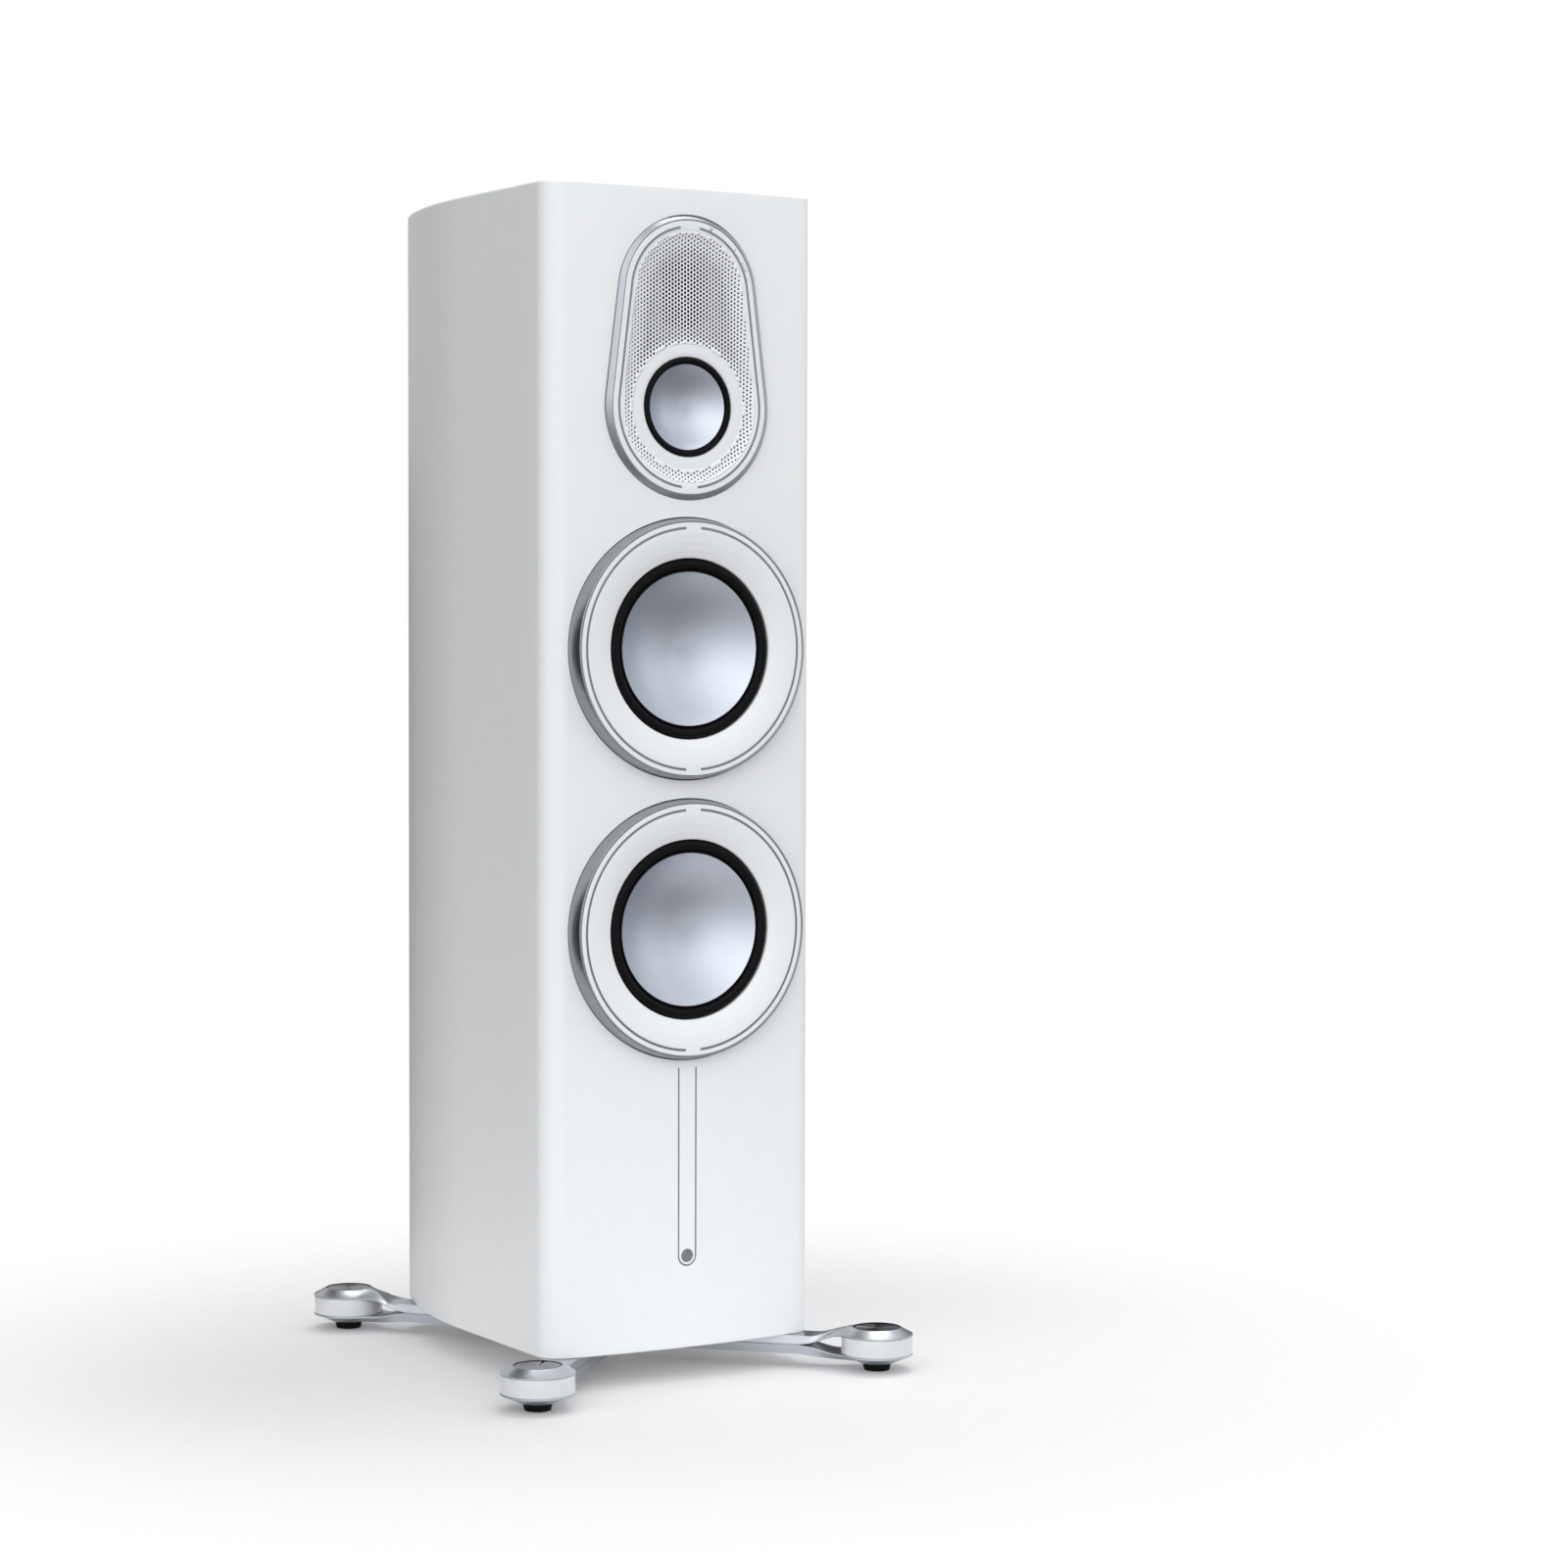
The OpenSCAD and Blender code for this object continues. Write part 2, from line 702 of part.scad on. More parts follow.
module pucks() {
    color(white) for (foot = corner_feet) at_foot(foot) translate([0, 0, puck_low_z]) difference() {
        cylinder(r = puck_r - 0.2, h = puck_high_z - puck_low_z, $fn = fine);
        translate([-key_w / 2 - key_clear, -key_w / 2 - key_clear, -1])
            cube([key_w + 2 * key_clear, key_w + 2 * key_clear, puck_high_z - puck_low_z + 2]);
    }
}

module arm_bolts() {
    color(steel) for (foot = corner_feet) at_bolts(foot) difference() {
        union() {
            translate([0, 0, bar_low_z]) cylinder(r = bolt_r * 2 - 0.2, h = 3, $fn = 48);
            translate([0, 0, bar_low_z + 2.99]) cylinder(r = bolt_r - 0.1, h = 28, $fn = 32);
        }
        translate([0, 0, bar_low_z - 1]) cylinder(r = 2, h = 2.6, $fn = 6);
    }
}

// Cap on top of a foot and the threaded spindle under it
module adjuster(foot) {
    color(silver) at_foot(foot) difference() {
        union() {
            translate([0, 0, puck_high_z + 3.3]) cylinder(r = cap_r, h = 3.2, $fn = fine);
            translate([0, 0, 10]) cylinder(r = spindle_r, h = 24, $fn = 64);
        }
        translate([cap_r - 1, 0, disc_top_z]) cube([3, 3, 3], center = true);
    }
}

// Keyed block that rides down the spindle, with its rubber sole
module pad(foot) {
    color(black) at_foot(foot) difference() {
        union() {
            cylinder(r1 = 11.2, r2 = 12.2, h = pad_h, $fn = fine);
            translate([-key_w / 2, -key_w / 2, pad_h - 0.01]) cube([key_w, key_w, 18.5]);
        }
        translate([0, 0, 2]) cylinder(r = spindle_r + spindle_clear, h = 40, $fn = 64);
    }
}

cabinet_wrap();
front_baffle();
top_panel();
base_panel();
braces();
mid_chamber();
front_inlay();
badge_disc();
bass_bezel(upper_bass_z);  // upper_bass_bezel
bass_face(upper_bass_z);  // upper_bass_face
bass_basket(upper_bass_z);  // upper_bass_basket
bass_surround(upper_bass_z);  // upper_bass_surround
bass_cone(upper_bass_z);  // upper_bass_cone
bass_coil(upper_bass_z);  // upper_bass_coil
bass_spider(upper_bass_z);  // upper_bass_spider
bass_bezel(lower_bass_z);  // lower_bass_bezel
bass_face(lower_bass_z);  // lower_bass_face
bass_basket(lower_bass_z);  // lower_bass_basket
bass_surround(lower_bass_z);  // lower_bass_surround
bass_cone(lower_bass_z);  // lower_bass_cone
bass_coil(lower_bass_z);  // lower_bass_coil
bass_spider(lower_bass_z);  // lower_bass_spider
bass_magnets();
bass_yokes();
tie_rods();
ring_inlays();
mid_ring();
mid_basket();
mid_motor();
mid_surround();
mid_cone();
mid_coil();
mid_spider();
plate_bezel();
plate_face();
mesh_grille();
tweeter_housing();
tweeter_diaphragm();
tweeter_magnets();
crossover_board();
crossover_parts();
port_tubes();
terminal_tray();
terminal_posts();
washer(-1);  // left_washer
washer(1);  // right_washer
knob(-1);  // left_knob
knob(1);  // right_knob
upper_arms();
lower_arms();
pucks();
arm_bolts();
adjuster(corner_feet[0]);  // front_left_adjuster
adjuster(corner_feet[1]);  // front_right_adjuster
adjuster(corner_feet[2]);  // rear_left_adjuster
adjuster(corner_feet[3]);  // rear_right_adjuster
pad(corner_feet[0]);  // front_left_pad
pad(corner_feet[1]);  // front_right_pad
pad(corner_feet[2]);  // rear_left_pad
pad(corner_feet[3]);  // rear_right_pad
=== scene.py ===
import json
import math

import bmesh
import bpy
from mathutils import Matrix, Vector
from mathutils.geometry import delaunay_2d_cdt
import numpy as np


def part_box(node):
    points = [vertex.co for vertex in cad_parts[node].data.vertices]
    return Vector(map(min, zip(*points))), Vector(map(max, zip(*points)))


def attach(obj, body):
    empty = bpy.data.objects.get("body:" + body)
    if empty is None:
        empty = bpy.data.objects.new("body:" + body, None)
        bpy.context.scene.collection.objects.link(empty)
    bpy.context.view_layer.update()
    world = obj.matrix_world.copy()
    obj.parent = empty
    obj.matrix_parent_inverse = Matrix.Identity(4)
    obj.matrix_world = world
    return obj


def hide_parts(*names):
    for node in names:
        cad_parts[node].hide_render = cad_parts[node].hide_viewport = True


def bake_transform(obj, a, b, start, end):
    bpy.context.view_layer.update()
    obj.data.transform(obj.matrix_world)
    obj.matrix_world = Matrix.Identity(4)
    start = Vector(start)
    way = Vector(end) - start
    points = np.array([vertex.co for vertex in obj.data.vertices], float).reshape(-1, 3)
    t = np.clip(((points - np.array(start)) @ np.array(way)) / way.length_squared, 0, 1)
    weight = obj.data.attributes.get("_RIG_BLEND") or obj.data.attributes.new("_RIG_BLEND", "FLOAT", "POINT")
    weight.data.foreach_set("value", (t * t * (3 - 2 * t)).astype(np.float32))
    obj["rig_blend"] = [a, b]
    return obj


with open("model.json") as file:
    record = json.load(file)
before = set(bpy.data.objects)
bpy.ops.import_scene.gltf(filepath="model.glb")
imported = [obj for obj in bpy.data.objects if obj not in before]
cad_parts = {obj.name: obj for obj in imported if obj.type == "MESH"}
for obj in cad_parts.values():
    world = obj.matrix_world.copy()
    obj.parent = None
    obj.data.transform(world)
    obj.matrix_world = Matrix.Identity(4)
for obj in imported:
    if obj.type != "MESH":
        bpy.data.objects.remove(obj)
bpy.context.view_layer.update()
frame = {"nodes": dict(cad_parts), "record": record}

# Three-way floorstanding speaker. The CAD frame gives every position; lengths below are in millimetres.
MM = 0.001
NODES = frame["nodes"]

# Camera, in metres and degrees
CAMERA_AT = (-1.5929, -2.9497, 0.6536)
CAMERA_YAW, CAMERA_PITCH, CAMERA_ROLL = -31.213, -2.531, 0.161
LENS, SENSOR = 86.6, 36

# The floor is whole out to the first radius and gone at the second, in metres
FLOOR_WHOLE, FLOOR_GONE = 0.31, 0.8
FLOOR_GLOW = 0.1
FLOOR_DROP = 0.0005


def box_mm(node):
    low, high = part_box(node)
    return [v / MM for v in low], [v / MM for v in high]


def middle(node):
    low, high = box_mm(node)
    return [(a + b) / 2 for a, b in zip(low, high)]


# ---- Camera, light and floor ----


def camera():
    data = bpy.data.cameras.new("camera")
    data.sensor_width = SENSOR
    data.lens = LENS
    data.clip_end = 60
    obj = bpy.data.objects.new("camera", data)
    bpy.context.collection.objects.link(obj)
    yaw, pitch, roll = (math.radians(a) for a in (CAMERA_YAW, CAMERA_PITCH, CAMERA_ROLL))
    turn = Matrix.Rotation(yaw, 4, "Z") @ Matrix.Rotation(math.pi / 2 + pitch, 4, "X") @ Matrix.Rotation(roll, 4, "Z")
    obj.matrix_world = Matrix.Translation(CAMERA_AT) @ turn
    bpy.context.scene.camera = obj


def area_light(name, place, target, size, power):
    data = bpy.data.lights.new(name, "AREA")
    data.shape = "RECTANGLE"
    data.size, data.size_y = size
    data.energy = power
    obj = bpy.data.objects.new(name, data)
    bpy.context.collection.objects.link(obj)
    obj.location = place
    obj.rotation_euler = (Vector(target) - Vector(place)).to_track_quat("-Z", "Y").to_euler()


def studio():
    """White backdrop; the light comes from the front and above and fades towards the left rear and the ground."""
    scene = bpy.context.scene
    scene.view_settings.view_transform = "Standard"
    world = bpy.data.worlds.new("studio")
    scene.world = world
    world.use_nodes = True
    tree = world.node_tree
    tree.nodes.clear()
    out = tree.nodes.new("ShaderNodeOutputWorld")
    mix = tree.nodes.new("ShaderNodeMixShader")
    path = tree.nodes.new("ShaderNodeLightPath")
    light = tree.nodes.new("ShaderNodeBackground")
    seen = tree.nodes.new("ShaderNodeBackground")
    way = tree.nodes.new("ShaderNodeTexCoord")

    def towards(aim, dim, full, low, high):
        """Strength that rises from low to high as the direction turns towards aim."""
        along = tree.nodes.new("ShaderNodeVectorMath")
        along.operation = "DOT_PRODUCT"
        along.inputs[1].default_value = aim
        span = node(tree, "ShaderNodeMapRange", From_Min=dim, From_Max=full, To_Min=low, To_Max=high)
        span.interpolation_type = "SMOOTHSTEP"
        tree.links.new(way.outputs["Generated"], along.inputs[0])
        tree.links.new(along.outputs["Value"], span.inputs["Value"])
        return span.outputs["Result"]

    def joined(operation, first, second):
        made = tree.nodes.new("ShaderNodeMath")
        made.operation = operation
        tree.links.new(first, made.inputs[0])
        tree.links.new(second, made.inputs[1])
        return made.outputs[0]

    front = towards((0.2, -0.96, 0.2), -0.38, 0.08, 0.03, 0.85)
    side = towards((-0.72, -0.66, 0.2), 0.3, 0.9, 0.0, 0.85)
    right = towards((1, 0, 0.1), 0.55, 1.0, 0.0, 0.35)
    sky = towards((0, 0, 1), -0.4, 0.3, 0.34, 1.1)
    tree.links.new(joined("MULTIPLY", joined("ADD", joined("ADD", front, side), right), sky), light.inputs[1])
    light.inputs[0].default_value = (0.97, 0.985, 1.0, 1)
    seen.inputs[0].default_value = (1, 1, 1, 1)
    tree.links.new(path.outputs["Is Camera Ray"], mix.inputs[0])
    tree.links.new(light.outputs[0], mix.inputs[1])
    tree.links.new(seen.outputs[0], mix.inputs[2])
    tree.links.new(mix.outputs[0], out.inputs[0])
    area_light("overhead", (0.6, 0.3, 3.4), (0, 0, 0.6), (2.0, 2.0), 38)
    area_light("back", (0.8, 3.6, 1.9), (0, 0, 0.5), (2.4, 2.0), 14)


def floor():
    """White ground that fades out where the speaker's shadows have ended."""
    bm = bmesh.new()
    bmesh.ops.create_circle(bm, cap_ends=True, segments=96, radius=4)
    mesh = bpy.data.meshes.new("floor")
    bm.to_mesh(mesh)
    bm.free()
    obj = bpy.data.objects.new("floor", mesh)
    bpy.context.collection.objects.link(obj)
    obj.location = (0, 0, -FLOOR_DROP)
    mat = bpy.data.materials.new("floor")
    mat.use_nodes = True
    tree = mat.node_tree
    shader = tree.nodes["Principled BSDF"]
    shader.inputs["Roughness"].default_value = 0.7
    shader.inputs["Specular IOR Level"].default_value = 0.2
    shader.inputs["Emission Color"].default_value = (1, 1, 1, 1)
    shader.inputs["Emission Strength"].default_value = FLOOR_GLOW
    speckle(mat, (0.70, 0.70, 0.70), 0.01, 40)
    away = tree.nodes.new("ShaderNodeVectorMath")
    away.operation = "LENGTH"
    fade = node(tree, "ShaderNodeMapRange", From_Min=FLOOR_WHOLE, From_Max=FLOOR_GONE, To_Min=1.0, To_Max=0.0)
    fade.interpolation_type = "SMOOTHSTEP"
    tree.links.new(coordinates(tree), away.inputs[0])
    tree.links.new(away.outputs["Value"], fade.inputs["Value"])
    tree.links.new(fade.outputs["Result"], shader.inputs["Alpha"])
    mesh.materials.append(mat)


# ---- Materials ----


def node(tree, kind, **inputs):
    made = tree.nodes.new(kind)
    for key, value in inputs.items():
        made.inputs[key.replace("_", " ")].default_value = value
    return made


def coordinates(tree):
    return tree.nodes.new("ShaderNodeTexCoord").outputs["Object"]


def speckle(mat, colour, spread, scale, detail=3):
    """Base colour that wanders by spread around colour."""
    tree = mat.node_tree
    shader = tree.nodes["Principled BSDF"]
    noise = node(tree, "ShaderNodeTexNoise", Scale=scale, Detail=detail)
    ramp = tree.nodes.new("ShaderNodeValToRGB")
    ramp.color_ramp.elements[0].position = 0.3
    ramp.color_ramp.elements[1].position = 0.7
    ramp.color_ramp.elements[0].color = [c * (1 - spread) for c in colour] + [1]
    ramp.color_ramp.elements[1].color = [min(1, c * (1 + spread)) for c in colour] + [1]
    tree.links.new(coordinates(tree), noise.inputs["Vector"])
    tree.links.new(noise.outputs["Fac"], ramp.inputs["Fac"])
    tree.links.new(ramp.outputs["Color"], shader.inputs["Base Color"])


def rough_noise(mat, low, high, scale):
    tree = mat.node_tree
    noise = node(tree, "ShaderNodeTexNoise", Scale=scale, Detail=4)
    span = node(tree, "ShaderNodeMapRange", To_Min=low, To_Max=high)
    tree.links.new(coordinates(tree), noise.inputs["Vector"])
    tree.links.new(noise.outputs["Fac"], span.inputs["Value"])
    tree.links.new(span.outputs["Result"], tree.nodes["Principled BSDF"].inputs["Roughness"])


def grain_height(tree, scale, detail=2):
    noise = node(tree, "ShaderNodeTexNoise", Scale=scale, Detail=detail)
    tree.links.new(coordinates(tree), noise.inputs["Vector"])
    return noise.outputs["Fac"]


def ring_height(tree, axis, scale):
    """Concentric turning marks about the object's own axis."""
    flat = tree.nodes.new("ShaderNodeVectorMath")
    flat.operation = "MULTIPLY"
    flat.inputs[1].default_value = [0 if a == axis else 1 for a in "XYZ"]
    size = tree.nodes.new("ShaderNodeVectorMath")
    size.operation = "LENGTH"
    noise = tree.nodes.new("ShaderNodeTexNoise")
    noise.noise_dimensions = "1D"
    noise.inputs["Scale"].default_value = scale
    noise.inputs["Detail"].default_value = 4
    tree.links.new(coordinates(tree), flat.inputs[0])
    tree.links.new(flat.outputs[0], size.inputs[0])
    tree.links.new(size.outputs["Value"], noise.inputs["W"])
    return noise.outputs["Fac"]


def streak_height(tree, stretch, scale):
    """Brushing that runs along the axis whose stretch is least."""
    mapping = tree.nodes.new("ShaderNodeMapping")
    mapping.inputs["Scale"].default_value = stretch
    noise = node(tree, "ShaderNodeTexNoise", Scale=scale, Detail=4)
    tree.links.new(coordinates(tree), mapping.inputs["Vector"])
    tree.links.new(mapping.outputs[0], noise.inputs["Vector"])
    return noise.outputs["Fac"]


def bumped(mat, height, strength, distance):
    tree = mat.node_tree
    bump = tree.nodes.new("ShaderNodeBump")
    bump.inputs["Strength"].default_value = strength
    bump.inputs["Distance"].default_value = distance
    tree.links.new(height, bump.inputs["Height"])
    tree.links.new(bump.outputs["Normal"], tree.nodes["Principled BSDF"].inputs["Normal"])


def radial_tangent(mat, axis):
    tree = mat.node_tree
    tangent = tree.nodes.new("ShaderNodeTangent")
    tangent.direction_type = "RADIAL"
    tangent.axis = axis
    tree.links.new(tangent.outputs[0], tree.nodes["Principled BSDF"].inputs["Tangent"])


def finish(name, colour, spread, roughness, grain, bump, metallic=0.0, coat=0.0, anisotropic=0.0, specular=0.5,
           axis=None, rings=0.0, streaks=None):
    """A surface with wandering colour and roughness, and grain, turning marks or brushing in its bump."""
    mat = bpy.data.materials.new(name)
    mat.use_nodes = True
    shader = mat.node_tree.nodes["Principled BSDF"]
    shader.inputs["Metallic"].default_value = metallic
    shader.inputs["Coat Weight"].default_value = coat
    shader.inputs["Coat Roughness"].default_value = 0.12
    shader.inputs["Anisotropic"].default_value = anisotropic
    shader.inputs["Specular IOR Level"].default_value = specular
    speckle(mat, colour, spread, grain / 12)
    rough_noise(mat, roughness[0], roughness[1], grain / 4)
    if axis and rings:
        bumped(mat, ring_height(mat.node_tree, axis, rings), bump, 0.0002)
    elif streaks:
        bumped(mat, streak_height(mat.node_tree, streaks, grain), bump, 0.0002)
    else:
        bumped(mat, grain_height(mat.node_tree, grain), bump, 0.0002)
    if axis:
        radial_tangent(mat, axis)
    return mat


WHITE = (0.82, 0.825, 0.83)
MAT = {
    "lacquer": finish("satin_lacquer", WHITE, 0.006, (0.36, 0.44), 700, 0.04, specular=0.4),
    "bare_board": finish("fibreboard", (0.42, 0.29, 0.18), 0.12, (0.7, 0.9), 900, 0.5),
    "trim_white": finish("white_moulding", (0.80, 0.805, 0.815), 0.006, (0.30, 0.38), 1200, 0.04, specular=0.45),
    # The pucks are the same white plastic as the trim, painted greyer: painted shade.
    "puck_white_painted_shade": finish("gloss_white_painted_shade", (0.62, 0.625, 0.64), 0.006, (0.10, 0.16), 1200, 0.02, coat=0.6),
    "mesh": finish("mesh_paint", (0.84, 0.845, 0.86), 0.01, (0.34, 0.44), 1500, 0.08, specular=0.4),
    "silver": finish("anodised", (0.52, 0.535, 0.57), 0.02, (0.30, 0.38), 2600, 0.12, metallic=1.0),
    # The plate bezel and the bass rings are the same anodised silver as the arms, painted darker: painted shade for
    # their darker reflections.
    "silver_bezel": finish("bezel_anodised_painted_shade", (0.35, 0.36, 0.385), 0.02, (0.24, 0.32), 2600, 0.10, metallic=1.0),
    "silver_turned": finish("turned_ring_painted_shade", (0.35, 0.36, 0.385), 0.02, (0.26, 0.34), 1500, 0.10, metallic=1.0,
                            anisotropic=0.5, axis="Y", rings=2600),
    # The spun caps are anodised silver painted darker still: painted shade for their darker reflections; the spun rings
    # themselves are real.
    "silver_spun": finish("spun_cap_painted_shade", (0.27, 0.275, 0.295), 0.02, (0.26, 0.34), 1500, 0.14, metallic=1.0,
                          anisotropic=0.85, axis="Z", rings=3200),
    "inlay": finish("brushed_inlay", (0.29, 0.30, 0.32), 0.03, (0.28, 0.34), 1500, 0.12, metallic=0.9),
    "cone": finish("spun_cone", (0.56, 0.59, 0.65), 0.012, (0.40, 0.46), 900, 0.03, metallic=1.0,
                   anisotropic=0.35, axis="Y", rings=1800),
    "rubber": finish("rubber", (0.005, 0.005, 0.0055), 0.10, (0.42, 0.55), 1600, 0.25, specular=0.07),
    "frame_black": finish("powder_coat", (0.03, 0.03, 0.032), 0.10, (0.45, 0.6), 1800, 0.5),
    "magnet": finish("ferrite", (0.06, 0.06, 0.063), 0.15, (0.55, 0.75), 900, 0.6),
    "steel": finish("zinc_steel", (0.45, 0.46, 0.48), 0.05, (0.28, 0.42), 900, 0.25, metallic=1.0,
                    streaks=(1, 1, 14)),
    "copper": finish("copper_wire", (0.62, 0.30, 0.15), 0.08, (0.3, 0.4), 1200, 0.4, metallic=1.0, axis="Y",
                     rings=2500),
    "cloth": finish("spider_cloth", (0.50, 0.36, 0.13), 0.15, (0.75, 0.9), 1500, 0.8),
    "film": finish("pleated_film", (0.030, 0.028, 0.026), 0.06, (0.3, 0.45), 1200, 0.2, streaks=(14, 1, 1)),
    "board": finish("circuit_board", (0.02, 0.09, 0.05), 0.12, (0.3, 0.45), 700, 0.2),
    "components": finish("components", (0.52, 0.47, 0.33), 0.12, (0.35, 0.5), 600, 0.3),
    "black_plastic": finish("black_moulding", (0.022, 0.022, 0.024), 0.08, (0.38, 0.5), 2200, 0.35),
    "horn_grey": finish("horn_moulding", (0.24, 0.244, 0.255), 0.06, (0.38, 0.48), 1800, 0.2),
    "terminal_metal": finish("plated_brass", (0.60, 0.60, 0.62), 0.03, (0.18, 0.28), 1500, 0.1, metallic=1.0,
                             axis="Y", rings=2600),
}

# ---- Mesh helpers ----


def place_mesh(name, verts, faces, origin, material, body="root", replaced=(), sharp=32, blended=None):
    """Verts are in millimetres about origin, also in millimetres. Doubled points merge and faces turn outwards."""
    bm = bmesh.new()
    points = [bm.verts.new([c * MM for c in v]) for v in verts]
    for face in faces:
        if len(set(face)) > 2:
            bm.faces.new([points[i] for i in face])
    bmesh.ops.remove_doubles(bm, verts=bm.verts, dist=2e-6)
    bmesh.ops.dissolve_degenerate(bm, edges=bm.edges, dist=1e-6)
    bmesh.ops.recalc_face_normals(bm, faces=bm.faces)
    for face in bm.faces:
        face.smooth = True
    mesh = bpy.data.meshes.new(name)
    bm.to_mesh(mesh)
    bm.free()
    mesh.set_sharp_from_angle(angle=math.radians(sharp))
    mesh.materials.append(MAT[material])
    obj = bpy.data.objects.new(name, mesh)
    bpy.context.collection.objects.link(obj)
    obj.location = [c * MM for c in origin]
    if replaced:
        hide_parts(*replaced)
    bpy.context.view_layer.update()
    if blended is None:
        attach(obj, body)
    return obj


def circle(radius, steps, x=0, y=0):
    angles = [2 * math.pi * i / steps for i in range(steps)]
    return [(x + radius * math.cos(a), y + radius * math.sin(a)) for a in angles]


def gather(verts, faces, shape):
    """Adds a shape's verts and faces to growing lists."""
    more_verts, more_faces = shape
    faces += [tuple(i + len(verts) for i in face) for face in more_faces]
    verts += more_verts


def triangles_over(loops, loose=(), fuzz=1e-5):
    """Verts and triangles over closed 2-D loops, whose edges are kept, and over loose points."""
    points, edges = [], []
    for loop in loops:
        edges += [(len(points) + i, len(points) + (i + 1) % len(loop)) for i in range(len(loop))]
        points += loop
    verts, _, triangles, *_ = delaunay_2d_cdt([Vector(p) for p in points + list(loose)], edges, [], 0, fuzz)
    return verts, [tuple(tri) for tri in triangles]


def centre_of(triangle, verts):
    return tuple(sum(verts[i][k] for i in triangle) / 3 for k in (0, 1))


def skin(loops, wrap=False, caps=False):
    """Verts and quads over a stack of closed loops with equally many points."""
    count = len(loops[0])
    verts = [p for loop in loops for p in loop]
    faces = []
    for i in range(len(loops) if wrap else len(loops) - 1):
        a, b = i * count, (i + 1) % len(loops) * count
        for j in range(count):
            k = (j + 1) % count
            faces.append((a + j, a + k, b + k, b + j))
    if caps:
        faces.append(tuple(range(count)))
        faces.append(tuple(range(len(verts) - count, len(verts))))
    return verts, faces


def fillet(points, steps=4, closed=True):
    """Rounds each (x, y, radius) corner of an outline."""
    out = []
    count = len(points)
    for i, (x, y, radius) in enumerate(points):
        if not radius or (not closed and i in (0, count - 1)):
            out.append((x, y))
            continue
        here = Vector((x, y))
        before, after = (Vector(points[(i + s) % count][:2]) - here for s in (-1, 1))
        room = min(before.length, after.length) * 0.48
        half = before.angle(after) / 2
        reach = min(radius / math.tan(half), room)
        arc_r = reach * math.tan(half)
        centre = here + (before.normalized() + after.normalized()).normalized() * (arc_r / math.sin(half))
        start = here + before.normalized() * reach - centre
        end = here + after.normalized() * reach - centre
        turn = start.angle_signed(end)
        for s in range(steps + 1):
            a = -turn * s / steps
            out.append((centre.x + start.x * math.cos(a) - start.y * math.sin(a),
                        centre.y + start.x * math.sin(a) + start.y * math.cos(a)))
    return out


def lathe(name, profile, origin, material, axis="Y", steps=192, closed=True, **more):
    """Turns (radius, height) points about an axis through origin."""
    loops = [[(x, h, y) if axis == "Y" else (x, y, h) for x, y in circle(r, steps)] for r, h in profile]
    return place_mesh(name, *skin(loops, wrap=closed), origin, material, **more)


def cut(obj, tool_verts, tool_faces, origin):
    """Takes a closed shape away from obj."""
    tool = place_mesh("cutter", tool_verts, tool_faces, origin, "lacquer", blended=True)
    modifier = obj.modifiers.new("cut", "BOOLEAN")
    modifier.operation = "DIFFERENCE"
    modifier.solver = "EXACT"
    modifier.object = tool
    baked = bpy.data.meshes.new_from_object(obj.evaluated_get(bpy.context.evaluated_depsgraph_get()))
    obj.modifiers.clear()
    old = obj.data
    obj.data = baked
    bpy.data.meshes.remove(old)
    bpy.data.objects.remove(tool)
    baked.set_sharp_from_angle(angle=math.radians(32))


def disc_tool(radius, depth, steps=192):
    return skin([[(x, y, z) for x, z in circle(radius, steps)] for y in (0, depth)], caps=True)


def arc_points(x, y, r, start, end, steps):
    return [(x + r * math.cos(math.radians(start + (end - start) * i / steps)),
             y + r * math.sin(math.radians(start + (end - start) * i / steps))) for i in range(steps + 1)]


def strip_loops(path, half_width, levels):
    """A flat strip with round ends along a 2-D path, as closed loops at each (inset, depth) level."""
    loops = []
    tangents = [(Vector(path[min(i + 1, len(path) - 1)]) - Vector(path[max(i - 1, 0)])).normalized()
                for i in range(len(path))]
    for inset, depth in levels:
        w = half_width - inset
        left = [(p[0] - t.y * w, p[1] + t.x * w) for p, t in zip(path, tangents)]
        right = [(p[0] + t.y * w, p[1] - t.x * w) for p, t in zip(path, tangents)]
        ends = []
        for p, t, sign in ((path[-1], tangents[-1], 1), (path[0], tangents[0], -1)):
            base = math.atan2(t.x * sign, -t.y * sign)
            ends.append([(p[0] + w * math.cos(base - math.pi * s / 8), p[1] + w * math.sin(base - math.pi * s / 8))
                         for s in range(1, 8)])
        flat = left + ends[0] + right[::-1] + ends[1]
        loops.append([(x, depth, z) for x, z in flat])
    return loops


# ---- Cabinet ----

wrap_low, wrap_high = box_mm("cabinet_wrap")
front_low, _ = box_mm("front_baffle")
_, top_high = box_mm("top_panel")
base_low, _ = box_mm("base_panel")
HALF_W = wrap_high[0]
FRONT_Y = front_low[1]
BACK_Y = wrap_high[1]
BULGE = 9
FRONT_R = (HALF_W ** 2 + BULGE ** 2) / (2 * BULGE)
EDGE_R = 21
SIDE_STRAIGHT = 138
SIDE_R = 490
REAR_R = 18


def front_at(x):
    return FRONT_Y + FRONT_R - math.sqrt(FRONT_R ** 2 - x * x)


